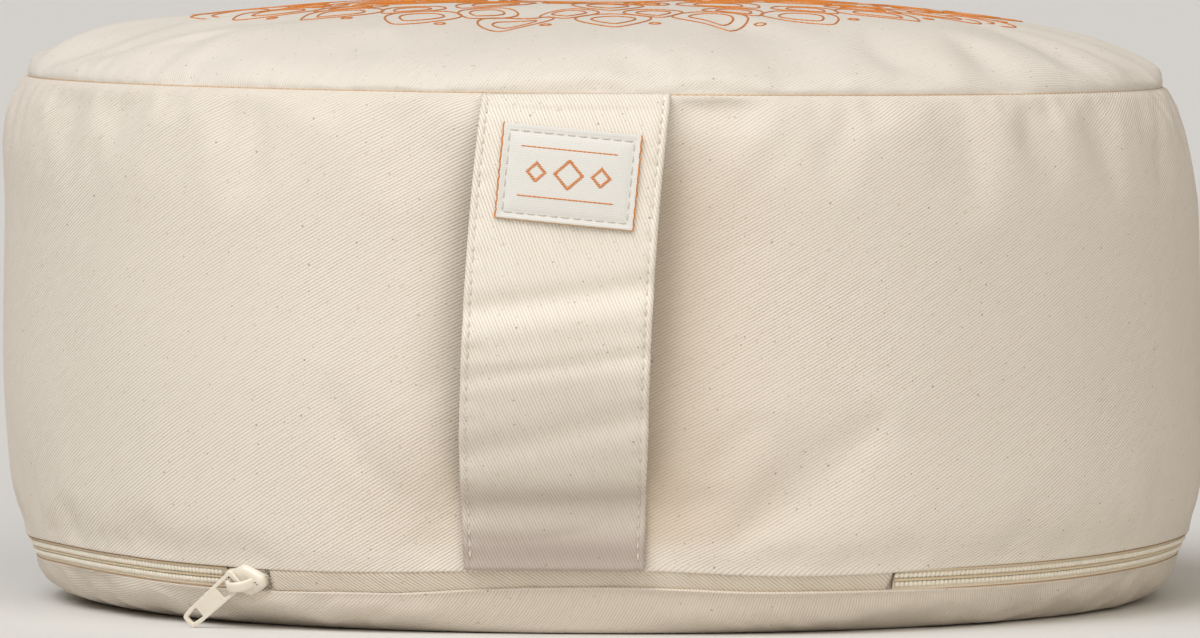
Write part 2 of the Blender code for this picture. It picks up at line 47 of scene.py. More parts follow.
body = {
    "wallRadius": 175.0,
    "seamHeight": 151.0,
    "crownRise": 22.4,
    "crownRadius": 166.0,
    "crownPower": 3.0,
    "crownRound": 2.2,
    "flatRadius": 149.0,
    "arcStart": -80.0,
    # half section, each row a radius and a height
    "underside": ((149, 0), (155.5, 1), (161, 3.8), (164.8, 8), (166.6, 12.4)),
    "wall": (
        (170, 20), (171.4, 26), (172.9, 36), (174.2, 52), (174.9, 70), (174.8, 90),
        (174.2, 110), (173.5, 126), (172.6, 137), (171.4, 143.5), (169.2, 148.4),
    ),
    "seam": (165.6, 151),
    "bandLow": (166.8, 13),
    "bandHigh": (169.6, 19.4),
    "channelDepth": 2.6,
    # the lower seams hang lower beside the strap than behind it: angle, drop
    "sag": (
        (-180, 0), (-110, 0.1), (-86, 0.5), (-69, -0.1), (-55, 0.7), (-47, 1.4),
        (-40, 1.8), (-33, 2), (-26, 1.8), (-19, 1.6), (-12, 0.6), (-4, 0),
        (3, 0), (9, 0.5), (14, 1.2), (20, 1.45), (28, 1.45), (36, 1.4), (46, 1.25),
        (57, 0.8), (68, 0.2), (80, -0.2), (110, 0), (180, 0),
    ),
    # waves round the cushion, size, phase
    "waves": ((3, 0.45, 215), (5, 0.35, 300), (8, 0.2, 10)),
    # the wall is pressed in behind the strap: height, depth
    "valley": (
        (20, 0), (28, 2.2), (42, 6.8), (60, 9), (90, 9.4), (112, 8.4), (130, 5.2),
        (143, 1.6), (151, 0),
    ),
    "valleyFlat": 19.0,
    "valleyReach": (41, 57),  # to the left of the strap's middle, to its right
    # the strap draws its lower seam in: angle, half width, depth, height where it starts and is whole
    "footPull": (-4.5, 17, 10, 66, 22),
    # arc and height at one end, the same at the other, half width, depth (negative stands out)
    "wallFolds": (
        (-196, 147, -150, 141, 9, 1.7),
        (-116, 146, -92, 136, 8, 1.1),
        (108, 147, 112, 124, 9, 1.2),
        (124, 146, 128, 128, 7, -0.5),
        (139, 146, 146, 124, 9, 0.9),
        (167, 145, 177, 120, 9, 1),
        (21, 148.5, 46, 145.5, 4.4, 3.2),
        (-60, 148, -48, 132, 9, 0.9),
        (196, 40, 232, 30, 10, 1.2),
        (-232, 34, -205, 42, 10, 1.1),
        (262, 146, 270, 120, 11, 1.5),
        (330, 147, 322, 124, 10, 1.4),
        (402, 146, 414, 128, 10, 1.3),
        (476, 147, 470, 122, 11, 1.5),
        (545, 146, 556, 126, 10, 1.3),
        (618, 147, 612, 121, 11, 1.5),
        (380, 34, 430, 30, 11, 1.2),
        (590, 31, 640, 36, 11, 1.2),
        (-66, 34, -40, 35, 7, 1.4),
        (20, 37, 66, 34, 7, 1.4),
    ),
    # the same in plan, x and y at either end
    "crownFolds": (
        (-160, -41, -131, -76, 7, 2.4),
        (-134, -73, -84, -84, 8, 1.7),
        (-154, -20, -116, -38, 11, -2.2),
        (-150, -34, -110, -62, 10, -1.2),
        (-146, -78, -104, -106, 12, -1.1),
        (96, -136, 76, -128, 7, 1.4),
        (114, -119, 104, -104, 8, 1.2),
        (140, -88, 122, -66, 8, 1.3),
        (158, -50, 132, -44, 8, 1.2),
        (164, -18, 136, -12, 9, 1.2),
        (50, -148, 84, -134, 7, 0.8),
        (-116, -110, -46, -138, 9, 0.9),
        (158, 44, 128, 30, 10, 1.4),
        (128, 104, 100, 84, 10, 1.5),
        (72, 148, 60, 116, 10, 1.4),
        (6, 164, 2, 130, 11, 1.5),
        (-64, 151, -46, 120, 10, 1.4),
        (-122, 110, -100, 86, 10, 1.5),
        (-158, 46, -124, 38, 10, 1.5),
    ),
    "undersideFolds": (
        (150, -72, 112, -112, 6, 1.5),
        (98, -124, 124, -108, 5, 1),
        (-150, -64, -140, -88, 6, 1.1),
        (150, 76, 118, 108, 6, 1.2),
        (-30, 162, -84, 140, 6, 1.2),
    ),
}


def smoothstep(low, high, value):
    share = np.clip((np.asarray(value, float) - low) / (high - low), 0.0, 1.0)
    return share * share * (3.0 - 2.0 * share)


def bell(value, halfWidth):
    return np.exp(-((value / halfWidth) ** 2))


def spline(table, count):
    # points at equal steps along a Catmull-Rom curve through the rows
    rows = np.array(table, float)
    ends = np.vstack([2 * rows[0] - rows[1], rows, 2 * rows[-1] - rows[-2]])
    steps = np.linspace(0.0, 1.0, 12, endpoint=False)[:, None]
    curve = []
    for before, start, end, after in zip(ends, ends[1:], ends[2:], ends[3:]):
        bend = (2 * before - 5 * start + 4 * end - after) * steps**2
        twist = (3 * start - before - 3 * end + after) * steps**3
        curve.append(0.5 * (2 * start + (end - before) * steps + bend + twist))
    curve = np.vstack([*curve, rows[-1]])
    along = lengthsAlong(curve)
    return readAlong(along, curve, np.linspace(0.0, along[-1], count))


def lengthsAlong(points):
    return np.r_[0.0, np.cumsum(np.linalg.norm(np.diff(points, axis=0), axis=1))]


def readAlong(along, line, wanted):
    # the line's own points or values at the wanted lengths along it
    return np.stack([np.interp(wanted, along, column) for column in line.T], axis=1)


def readTable(table, value):
    curve = spline(table, 160)
    order = np.argsort(curve[:, 0])
    return np.interp(value, curve[order, 0], curve[order, 1])


def foldDepth(table, along, up):
    depth = np.zeros(np.broadcast(along, up).shape)
    for startAlong, startUp, endAlong, endUp, halfWidth, height in table:
        step = np.array([endAlong - startAlong, endUp - startUp])
        length = np.hypot(*step)
        step = step / length
        travelled = (along - startAlong) * step[0] + (up - startUp) * step[1]
        aside = (up - startUp) * step[0] - (along - startAlong) * step[1]
        beyond = np.maximum(0.0, np.abs(travelled - length / 2) - length / 4)
        beyond = beyond / (length / 4 + halfWidth)
        depth += height * bell(aside, halfWidth) * np.exp(-2.0 * beyond**2)
    return depth


def wrapped(angle):
    # the same direction between -180 and 180 degrees
    return (np.asarray(angle, float) + 180.0) % 360.0 - 180.0


def lean(angle, height):
    # the filling has settled unevenly, so the section stands out here and in there
    turn = np.radians(angle)
    upper = smoothstep(112.0, 148.0, height)
    lower = smoothstep(70.0, 20.0, height)
    waves = sum(size * np.sin(count * turn + math.radians(phase)) for count, size, phase in body["waves"])
    settled = (0.2 + 2.2 * np.sin(turn) + 1.2 * np.cos(turn)) * lower
    middle, halfWidth, depth, starts, whole = body["footPull"]
    pulled = depth * bell(wrapped(angle - middle), halfWidth) * smoothstep(starts, whole, height)
    return settled - pulled - 1.4 * np.sin(turn) * upper + waves * (1.0 - upper - lower)


def seamLift(angle):
    return -0.2 - 1.7 * np.sin(np.radians(angle))


def seamSag(angle):
    return readTable(body["sag"], wrapped(angle))


def wallHeight(angle, height):
    # where a height of the plain section lies at an angle, as the seams rise and sag
    lifted = height + seamLift(angle) * smoothstep(100.0, 150.0, height)
    return lifted - seamSag(angle) * smoothstep(64.0, 20.0, height)


def strapCentre(height):
    return strap["leftmost"] + strap["curve"] * (height - strap["leftmostHeight"]) ** 2


def wallDent(angle, height):
    fade = smoothstep(19.0, 27.0, height) * smoothstep(151.0, 146.5, height)
    start = body["arcStart"]
    arc = body["wallRadius"] * np.radians((np.asarray(angle, float) - start) % 360.0 + start)
    again = arc - 2 * math.pi * body["wallRadius"]
    depth = foldDepth(body["wallFolds"], arc, height) + foldDepth(body["wallFolds"], again, height)
    sideways = body["wallRadius"] * np.sin(np.radians(angle)) - strapCentre(height)
    reach = np.where(sideways < 0, *body["valleyReach"])
    across = smoothstep(0.0, 1.0, (reach - np.abs(sideways)) / (reach - body["valleyFlat"]))
    front = np.cos(np.radians(angle)) > 0
    return depth * fade + readTable(body["valley"], height) * across * front


wallOutline = np.array(spline(body["wall"], 200).tolist() + [body["seam"]])


def wallRadius(angle, height):
    unlifted = height - seamLift(angle) * smoothstep(100.0, 150.0, height)
    unlifted = unlifted + seamSag(angle) * smoothstep(64.0, 20.0, height)
    base = np.interp(unlifted, wallOutline[:, 1], wallOutline[:, 0])
    return base + lean(angle, height) - wallDent(angle, height)


def roundPoint(angle, radius, height):
    turn = np.radians(angle)
    return np.stack([radius * np.sin(turn), -radius * np.cos(turn), height + 0.0 * turn], axis=-1)


def outwardAround(angle):
    # unit steps out from the cushion's axis and on round it
    turn = np.radians(np.asarray(angle, float))
    outward = np.stack([np.sin(turn), -np.cos(turn), 0.0 * turn], axis=-1)
    return outward, np.stack([np.cos(turn), np.sin(turn), 0.0 * turn], axis=-1)


def bandPoint(angle, side, out, along=0.0):
    # a place in the zip channel: up across it, out from its floor and on round the cushion
    outward, around = outwardAround(angle)
    upward = np.array((0.0, 0.0, 1.0))
    rise = np.subtract(body["bandHigh"], body["bandLow"])
    rise = rise / np.hypot(*rise)
    up = outward * rise[0] + upward * rise[1]
    normal = outward * rise[1] - upward * rise[0]
    middle = np.add(body["bandLow"], body["bandHigh"]) / 2
    radius = (middle[0] + lean(angle, middle[1]))[..., None]
    height = (middle[1] - seamSag(angle))[..., None]
    origin = outward * radius + upward * height - normal * body["channelDepth"]
    side, out, along = (np.asarray(value, float)[..., None] for value in (side, out, along))
    return origin + around * along + up * side + normal * out, (around, up, normal)


def linear(colour):
    # sRGB hex to linear red, green, blue and alpha
    channels = [int(colour[place:place + 2], 16) / 255 for place in (1, 3, 5)]
    return (*[c / 12.92 if c <= 0.04045 else ((c + 0.055) / 1.055) ** 2.4 for c in channels], 1.0)


def addNode(tree, kind, sockets=None, **settings):
    node = tree.nodes.new(kind)
    for name, value in settings.items():
        setattr(node, name, value)
    for place, value in (sockets or {}).items():
        if isinstance(value, bpy.types.NodeSocket):
            tree.links.new(value, node.inputs[place])
        else:
            node.inputs[place].default_value = value
    return node


def nodeOut(tree, kind, sockets=None, output=0, **settings):
    return addNode(tree, kind, sockets, **settings).outputs[output]


def noise(tree, place, scale, detail=2.0, **settings):
    sockets = {"Vector": place, "Scale": scale, "Detail": detail}
    return nodeOut(tree, "ShaderNodeTexNoise", sockets, "Fac", **settings)


def ridges(tree, place, pitch, direction, unevenness):
    # a wave texture repeats every pi / 10 / scale; the pitch is in millimetres
    sockets = {"Vector": place, "Scale": math.pi / 10 / (pitch * mm)} | unevenness
    return nodeOut(tree, "ShaderNodeTexWave", sockets, "Fac", wave_type="BANDS", bands_direction=direction)


def blend(tree, factor, low, high, mode="MIX"):
    # each colour is hex or comes from another node
    low, high = (linear(tone) if isinstance(tone, str) else tone for tone in (low, high))
    sockets = {"Factor": factor, 6: low, 7: high}
    return nodeOut(tree, "ShaderNodeMix", sockets, 2, data_type="RGBA", blend_type=mode)


def blendValue(tree, factor, low, high):
    return nodeOut(tree, "ShaderNodeMix", {"Factor": factor, 2: low, 3: high}, data_type="FLOAT")


def mapRange(tree, value, low, high, least=0.0, most=1.0, kind="LINEAR"):
    sockets = {"Value": value, "From Min": low, "From Max": high, "To Min": least, "To Max": most}
    return nodeOut(tree, "ShaderNodeMapRange", sockets, interpolation_type=kind)


def calculate(tree, operation, *values):
    return nodeOut(tree, "ShaderNodeMath", dict(enumerate(values)), operation=operation)


def attributeOf(tree, name):
    return nodeOut(tree, "ShaderNodeAttribute", output="Fac", attribute_name=name)


def objectPlace(tree):
    return nodeOut(tree, "ShaderNodeTexCoord", output="Object")


def newMaterial(name):
    made = bpy.data.materials.new(name)
    made.use_nodes = True
    return made, made.node_tree


def finishMaterial(made, surface, colour=None, relief=None):
    # surface holds the uniform values; relief is a bump's strength, depth in millimetres and height
    tree = made.node_tree
    shader = tree.nodes["Principled BSDF"]
    if colour:
        tree.links.new(colour, shader.inputs["Base Color"])
    if relief:
        strength, depth, height = relief
        sockets = {"Strength": strength, "Distance": depth * mm, "Height": height}
        tree.links.new(nodeOut(tree, "ShaderNodeBump", sockets), shader.inputs["Normal"])
    for socket, value in surface.items():
        shader.inputs[socket].default_value = value
    return made


twill = {
    "turn": -28.0,
    "pitch": 0.86,
    "yarnStretch": (0.12, 1.0, 1.0),
    "yarnScale": 900.0,
    "yarnShare": 0.3,
    "crossingShare": 0.1,
    "relief": 0.08,
    "hollow": "#cdbfac",
    "ridge": "#ece4d8",
    "faint": 0.35,
    "faintScale": 15.0,
    "cloud": 0.35,
    "cloudScale": 22.0,
    "cloudTone": "#dcd3c4",
    # multiplied in as painted shade: on the cloth beside the strap, and down the strap's lower end
    "paintedShadeTone": "#e8dccf",
    # cells to the metre, reach, share of cells left out, tone, strength
    "specks": ((120.0, 0.3, 0.7, "#86715a", 0.65), (260.0, 0.27, 0.55, "#b3a08a", 0.55),
               (60.0, 0.42, 0.8, "#7f6b55", 0.6), (90.0, 0.7, 0.8, "#cdb9a2", 0.4)),
}


def cottonTwill(name, look):
    # Undyed cotton twill, woven and unbleached: a warm cream with fine slanting ridges, uneven
    # yarn, and specks of seed husk. Ridges are as far apart as on the cloth, about 0.9 mm.
    made, tree = newMaterial(name)
    place = nodeOut(tree, "ShaderNodeUVMap", uv_map="panel")
    thing = objectPlace(tree)
    turn = (0.0, 0.0, math.radians(look["turn"]))
    turned = nodeOut(tree, "ShaderNodeMapping", {"Vector": place, "Rotation": turn})
    # the yarn is uneven, for longer along the ridges than across them
    drawn = nodeOut(tree, "ShaderNodeMapping", {"Vector": turned, "Scale": look["yarnStretch"]})
    yarn = noise(tree, drawn, look["yarnScale"], noise_dimensions="2D")
    ridge = ridges(tree, turned, look["pitch"], "Y", {"Distortion": 1.1, "Detail": 2.0, "Detail Scale": 0.35})
    crossing = ridges(tree, turned, look["pitch"] * 0.8, "DIAGONAL", {"Distortion": 2.0})
    woven = blendValue(tree, look["crossingShare"], ridge, crossing)
    woven = blendValue(tree, look["yarnShare"], woven, yarn)
    woven = mapRange(tree, woven, 0.12, 0.62, kind="SMOOTHSTEP")
    # the weave shows more in some places than in others
    faint = mapRange(tree, noise(tree, thing, look["faintScale"]), 0.38, 0.66, most=look["faint"])
    woven = blendValue(tree, faint, woven, 0.6)
    colour = blend(tree, woven, look["hollow"], look["ridge"])
    if "seamThreadAndShadeTone" in look:
        # tan along the upper seam: its thread, and painted shade in the seam's crease
        away = calculate(tree, "ABSOLUTE", attributeOf(tree, "fromSeam"))
        seamThreadAndShade = attributeOf(tree, "seamThreadAndShade")
        near = mapRange(tree, away, 0.0, look["seamReach"], seamThreadAndShade, 0.0, "SMOOTHERSTEP")
        colour = blend(tree, near, colour, look["seamThreadAndShadeTone"])
    # cloudy tone over tens of millimetres
    cloud = mapRange(tree, noise(tree, thing, look["cloudScale"], 3.0), 0.3, 0.7, most=look["cloud"])
    colour = blend(tree, cloud, colour, look["cloudTone"])
    # painted shade: the strap's lower end is darkened and the cloth beside the strap is darkened and warmed
    colour = blend(tree, attributeOf(tree, "painted_shade"), colour, look["paintedShadeTone"], "MULTIPLY")
    # specks of husk, about 0.4 mm, one in a few square centimetres, and paler ones more often
    for scale, reach, least, tone, strength in look["specks"]:
        sockets = {"Vector": place, "Scale": scale}
        cells = addNode(tree, "ShaderNodeTexVoronoi", sockets, voronoi_dimensions="2D").outputs
        edge = reach * mm * scale
        near = mapRange(tree, cells["Distance"], edge * 0.5, edge, strength, 0.0)
        chosen = nodeOut(tree, "ShaderNodeSeparateColor", {0: cells["Color"]})
        speck = calculate(tree, "MULTIPLY", near, calculate(tree, "GREATER_THAN", chosen, least))
        colour = blend(tree, speck, colour, tone)
    surface = {"Roughness": 0.88, "Specular IOR Level": 0.2, "Sheen Weight": 0.04, "Sheen Roughness": 0.5}
    return finishMaterial(made, surface, colour, (1.0, look["relief"], woven))


def spunThread(name, tone, shade, roughness, pitch):
    # Twisted sewing or embroidery thread: a soft gloss broken by its own slanting twist.
    made, tree = newMaterial(name)
    twist = ridges(tree, objectPlace(tree), pitch, "DIAGONAL", {"Distortion": 1.5, "Detail": 1.0})
    surface = {"Roughness": roughness, "Sheen Weight": 0.1}
    return finishMaterial(made, surface, blend(tree, twist, shade, tone), (0.6, 0.08, twist))


def wovenSatin(name, tone, shade, pitch, relief):
    # Polyester satin, woven very fine: a clean, slightly cool white with a faint grid of threads.
    made, tree = newMaterial(name)
    place = nodeOut(tree, "ShaderNodeUVMap", uv_map="panel")
    rows = [ridges(tree, place, pitch * factor, direction, {"Distortion": 0.6, "Detail": 1.0})
            for direction, factor in (("X", 1.0), ("Y", 1.25))]
    woven = calculate(tree, "MULTIPLY", *rows)
    surface = {"Roughness": 0.62, "Sheen Weight": 0.08}
    return finishMaterial(made, surface, blend(tree, woven, shade, tone), (0.8, relief, woven))


def nylonCoil(name):
    # Nylon monofilament, drawn and heat set: pale, smooth and slightly see-through, so it glows.
    made, tree = newMaterial(name)
    colour = blend(tree, noise(tree, objectPlace(tree), 300.0), "#e8deca", "#f6efe1")
    surface = {"Roughness": 0.5, "Subsurface Weight": 0.15, "Subsurface Scale": 0.001}
    return finishMaterial(made, surface, colour)


def creamEnamel(name):
    # Stoved enamel on die-cast zinc: an even cream with a soft gloss and faint orange peel.
    made, tree = newMaterial(name)
    thing = objectPlace(tree)
    colour = blend(tree, noise(tree, thing, 160.0), "#e4dac8", "#ede5d5")
    surface = {"Roughness": 0.33, "Coat Weight": 0.25, "Coat Roughness": 0.2}
    return finishMaterial(made, surface, colour, (0.35, 0.03, noise(tree, thing, 900.0)))


def meshOf(name, points, faces=(), cornerUvs=None, edges=()):
    mesh = bpy.data.meshes.new(name)
    corners = [tuple(map(int, face)) for face in faces]
    mesh.from_pydata((np.asarray(points) * mm).tolist(), edges, corners)
    if cornerUvs is not None:
        layer = mesh.uv_layers.new(name="panel")
        layer.data.foreach_set("uv", np.concatenate(cornerUvs).astype(np.float32).ravel() * mm)
    return mesh


def ringFaces(count, size):
    # quads between neighbouring rings of points
    return [
        (row * size + place, row * size + (place + 1) % size,
         (row + 1) * size + (place + 1) % size, (row + 1) * size + place)
        for row in range(count - 1) for place in range(size)
    ]


def thereAndBack(lengths, gap):
    # places round a flattened loop: along one side, over a gap and back along the other
    whole = 2 * lengths[-1] + gap
    return np.r_[lengths, whole - lengths[::-1], whole]


def closedBand(name, rings, lengths, around, lengthwise=False):
    # rings of points joined into a closed shape, its cloth laid out flat as it was cut
    rows, size = rings.shape[:2]
    flat = np.stack(np.broadcast_arrays(around[None, :], lengths[:, None]), axis=-1)
    if lengthwise:
        flat = flat[..., ::-1]
    faces = ringFaces(rows, size)
    uvs = [flat[[row, row, row + 1, row + 1], [place, place + 1, place + 1, place]]
           for row in range(rows - 1) for place in range(size)]
    for row in (0, rows - 1):
        for place in range(size // 2 - 1):
            corners = (place, place + 1, size - 2 - place, size - 1 - place)
            faces.append([row * size + corner for corner in corners])
            uvs.append(flat[row, [place, place + 1, place + 1, place]])
    mesh = meshOf(name, rings.reshape(-1, 3), faces, uvs)
    faceOutwards(mesh)
    return mesh


def faceOutwards(mesh, merge=None):
    shell = bmesh.new()
    shell.from_mesh(mesh)
    if merge:
        bmesh.ops.remove_doubles(shell, verts=shell.verts, dist=merge * mm)
    bmesh.ops.recalc_face_normals(shell, faces=shell.faces)
    shell.to_mesh(mesh)
    shell.free()


def setAttribute(mesh, name, values, domain="POINT"):
    layer = mesh.attributes.new(name, "FLOAT", domain)
    layer.data.foreach_set("value", values.astype(np.float32))


def readAttribute(mesh, name):
    values = np.empty(len(mesh.vertices), np.float32)
    mesh.attributes[name].data.foreach_get("value", values)
    return values


def readVertices(mesh, what):
    values = np.empty(len(mesh.vertices) * 3, np.float32)
    mesh.vertices.foreach_get(what, values)
    return values.reshape(-1, 3).astype(float)


def placesOf(mesh):
    return readVertices(mesh, "co") / mm


def movePlaces(mesh, places):
    mesh.vertices.foreach_set("co", (places * mm).astype(np.float32).ravel())
    mesh.update()


def placeObject(name, content):
    made = bpy.data.objects.new(name, content)
    bpy.context.scene.collection.objects.link(made)
    return made


def newObject(name, mesh, materials, smooth=True):
    for material in materials:
        mesh.materials.append(material)
    mesh.polygons.foreach_set("use_smooth", [smooth] * len(mesh.polygons))
    return placeObject(name, mesh)


def finishPiece(piece, slot, *nodes):
    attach(piece, "root")
    if nodes:
        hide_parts(*nodes)
    print(f"{piece.name}: {len(piece.data.polygons)} faces")
    return piece


def bakeModifiers(piece):
    # the evaluated shape becomes the piece's own plain mesh
    graph = bpy.context.evaluated_depsgraph_get()
    plain = bpy.data.meshes.new_from_object(
        piece.evaluated_get(graph), preserve_all_data_layers=True, depsgraph=graph
    )
    piece.modifiers.clear()
    old = piece.data
    plain.name = old.name
    piece.data = plain
    bpy.data.meshes.remove(old)
    return plain


def newTree(name, inputs):
    # a Geometry Nodes group with named inputs; the material is always the last
    tree = bpy.data.node_groups.new(name, "GeometryNodeTree")
    kinds = {"Geometry": "Geometry", "Seed": "Int", "Material": "Material"}
    for socket in ("Geometry", *inputs, "Material"):
        kind = "NodeSocket" + kinds.get(socket, "Float")
        tree.interface.new_socket(name=socket, in_out="INPUT", socket_type=kind)
    tree.interface.new_socket(name="Geometry", in_out="OUTPUT", socket_type="NodeSocketGeometry")
    return tree, addNode(tree, "NodeGroupInput").outputs


def endTree(tree, geometry, material):
    real = nodeOut(tree, "GeometryNodeRealizeInstances", {"Geometry": geometry})
    smooth = nodeOut(tree, "GeometryNodeSetShadeSmooth", {"Geometry": real})
    dressed = nodeOut(tree, "GeometryNodeSetMaterial", {"Geometry": smooth, "Material": material})
    addNode(tree, "NodeGroupOutput", {"Geometry": dressed})
    return tree


def makeStitchTree():
    # one rounded stitch or coil turn at each point, laid along and up the point's own directions
    tree, given = newTree("stitchesOnPoints", ("Length", "Width", "Height", "Variation", "Seed"))
    along, up = (
        nodeOut(tree, "GeometryNodeInputNamedAttribute", {"Name": name}, data_type="FLOAT_VECTOR")
        for name in ("along", "up")
    )
    align = "FunctionNodeAlignRotationToVector"
    turn = nodeOut(tree, align, {"Vector": along}, axis="X")
    turn = nodeOut(tree, align, {"Rotation": turn, "Vector": up}, axis="Z", pivot_axis="X")
    sides = {place: given[name] for place, name in enumerate(("Length", "Width", "Height"))}
    size = nodeOut(tree, "ShaderNodeCombineXYZ", sides)
    least, most = (calculate(tree, operation, 0.5, given["Variation"]) for operation in ("SUBTRACT", "ADD"))
    limits = {2: least, 3: most, "Seed": given["Seed"]}
    vary = nodeOut(tree, "FunctionNodeRandomValue", limits, 1, data_type="FLOAT")
    size = nodeOut(tree, "ShaderNodeVectorMath", {0: size, "Scale": vary}, operation="SCALE")
    bead = nodeOut(tree, "GeometryNodeMeshUVSphere", {"Segments": 6, "Rings": 4, "Radius": 1.0})
    laid = {"Points": given["Geometry"], "Instance": bead, "Rotation": turn, "Scale": size}
    return endTree(tree, nodeOut(tree, "GeometryNodeInstanceOnPoints", laid), given["Material"])


def makeThreadTree():
    # a flattened thread that follows each line of edges
    tree, given = newTree("threadAlongLines", ("Width", "Height", "Spacing"))
    line = nodeOut(tree, "GeometryNodeMeshToCurve", {"Mesh": given["Geometry"]})
    spaced = {"Curve": line, "Length": given["Spacing"]}
    line = nodeOut(tree, "GeometryNodeResampleCurve", spaced, mode="LENGTH")
    line = nodeOut(tree, "GeometryNodeSetCurveNormal", {"Curve": line}, mode="Z_UP")
    ring = nodeOut(tree, "GeometryNodeCurvePrimitiveCircle", {"Resolution": 6, "Radius": 0.5})
    size = nodeOut(tree, "ShaderNodeCombineXYZ", {0: given["Width"], 1: given["Height"], 2: 1.0})
    ring = nodeOut(tree, "GeometryNodeTransform", {"Geometry": ring, "Scale": size})
    swept = {"Curve": line, "Profile Curve": ring, "Fill Caps": True}
    return endTree(tree, nodeOut(tree, "GeometryNodeCurveToMesh", swept), given["Material"])


def runTree(name, mesh, tree, values):
    # inputs are set by identifier before the first evaluation, and the result is a plain mesh
    made = placeObject(name, mesh)
    change = made.modifiers.new(tree.name, "NODES")
    change.node_group = tree
    for socket in tree.interface.items_tree:
        if socket.in_out == "INPUT" and socket.name in values:
            change[socket.identifier] = values[socket.name]
    bakeModifiers(made)
    return made


def stitchPiece(name, points, along, up, size, material, seed):
    # length, width, height and variation of each stitch in millimetres
    mesh = meshOf(name, points)
    for direction, vectors in (("along", along), ("up", up)):
        layer = mesh.attributes.new(direction, "FLOAT_VECTOR", "POINT")
        vectors = np.broadcast_to(vectors, np.shape(points))
        layer.data.foreach_set("vector", vectors.astype(np.float32).ravel())
    length, width, height, variation = size
    values = {"Length": length * mm, "Width": width * mm, "Height": height * mm,
              "Variation": variation, "Seed": seed, "Material": material}
    return runTree(name, mesh, stitchTree, values)


def threadPiece(name, lines, width, height, spacing, material):
    points, edges = [], []
    for line, closed in lines:
        start = len(points)
        points += np.asarray(line).tolist()
        edges += [(place, place + 1) for place in range(start, len(points) - 1)]
        if closed:
            edges.append((len(points) - 1, start))
    values = {"Width": width * mm, "Height": height * mm, "Spacing": spacing * mm, "Material": material}
    return runTree(name, meshOf(name, points, edges=edges), threadTree, values)


cover = {
    "gridCount": 72,  # quads across each disc panel; the wall has four times as many columns
    "wallRows": 34,
    "rimCrowding": 0.4,
    # the channel's two hems and floor: place across the channel, place out from its floor, and
    # how much of the hem's own reach it takes
    "channel": (
        (-3.75, 2.75, 0.8), (-3.4, 2.35, 1), (-3.3, 1.2, 0.4), (-3.1, 0.3, 0), (0, 0.15, 0),
        (3.1, 0.3, 0), (3.3, 1.2, 0.4), (3.4, 2.4, 1), (3.75, 2.85, 0.8),
    ),
    # how far both hems reach over the zip or its guard: angle, reach
    "hemReach": (
        (-180, 0.05), (-60, 0), (-40, 0), (-33, 0.15), (-26, 0.35), (-19, 0.3),
        (-12, 0.8), (-4, 0.8), (2, 1.05), (12, 1.1), (19, 1.35), (27, 1.1), (31, 0.6),
        (38, 0.2), (55, 0.05), (70, 0), (180, 0.05),
    ),
    "hemLift": (1.3, 0.5),  # how far the lower hem and the upper one stand off what they reach over
    "seamCrease": 0.55,
    "frames": 20,
    # a negative shrink leaves spare cloth
    "cloth": {
        "quality": 5, "mass": 0.25, "tension_stiffness": 18.0, "compression_stiffness": 18.0,
        "shear_stiffness": 6.0, "bending_stiffness": 0.35, "use_pressure": True,
        "uniform_pressure_force": 4.0, "shrink_min": -0.022,
    },
    "steadyRounds": 90,
    "mostMove": 1.7,
    "gatherSeed": 7,
    "gatherCount": 5,
    "gatherWaves": (62, 150),  # folds round the whole seam
    # how far the upper seam is strained open to show its tan thread, and how much painted shade its crease
    # takes: angle, share
    "seamThreadAndShadeShare": (
        (-180, 0.5), (-150, 0.2), (-120, 0.3), (-90, 0.6), (-70, 0.9), (-20, 0.85), (20, 0.8),
        (45, 0.7), (58, 0.45), (70, 0.12), (100, 0.1), (130, 0.5), (180, 0.5),
    ),
    # reach from the seam, size
    "wallGathers": (11, 0.32),
    "crownGathers": (13, 0.36),
    "hemGathers": (7, 0.22),
}


def crownProfile():
    share = 1.0 - np.linspace(1.0, 0.0, 500) ** 2
    share[-1] = 0.9995
    rise = body["crownRise"] * (1.0 - share ** body["crownPower"]) ** (1.0 / body["crownRound"])
    return np.stack([body["crownRadius"] * share, body["seamHeight"] + rise], axis=1)


def undersideProfile():
    return np.vstack([(0.0, 0.0), spline(body["underside"], 80)])


def readProfile(profile, ring):
    # radius, height, outward slope and length from the middle, at a share of the way out
    crowding = cover["rimCrowding"]
    along = lengthsAlong(profile)
    wanted = ((1.0 + crowding) * ring - crowding * ring**2) * along[-1]
    tangent = np.gradient(profile, along, axis=0)
    radius, height, slopeOut, slopeUp = readAlong(along, np.hstack([profile, tangent]), wanted).T
    return radius, height, (-slopeUp, slopeOut), wanted, along[-1]


def discGrid(count):
    # a square grid bent into a disc, so that no pole is left: each vertex's ring and angle
    side = np.linspace(-1.0, 1.0, count + 1)
    across, along = np.meshgrid(side, side, indexing="ij")
    wide = np.abs(across) >= np.abs(along)
    reach = np.where(wide, across, along)
    safe = np.where(np.abs(reach) < 1e-9, 1.0, reach)
    turn = math.pi / 4 * np.where(wide, along / safe, 2.0 - across / safe)
    x, y = reach * np.cos(turn), reach * np.sin(turn)
    return np.abs(reach).ravel(), np.degrees(np.arctan2(x, -y)).ravel()


def crownPoints(ring, angle):
    radius, height, slope, along, whole = readProfile(crownProfile(), ring)
    share = radius / body["crownRadius"]
    leaned = radius + lean(angle, body["seamHeight"]) * share**2
    flat = roundPoint(angle, leaned, height + seamLift(angle) * share**4)
    pressed = foldDepth(body["crownFolds"], flat[:, 0], flat[:, 1]) * smoothstep(1.0, 0.94, share)
    points = roundPoint(angle, leaned - pressed * slope[0], flat[:, 2] - pressed * slope[1])
    return points, along, whole


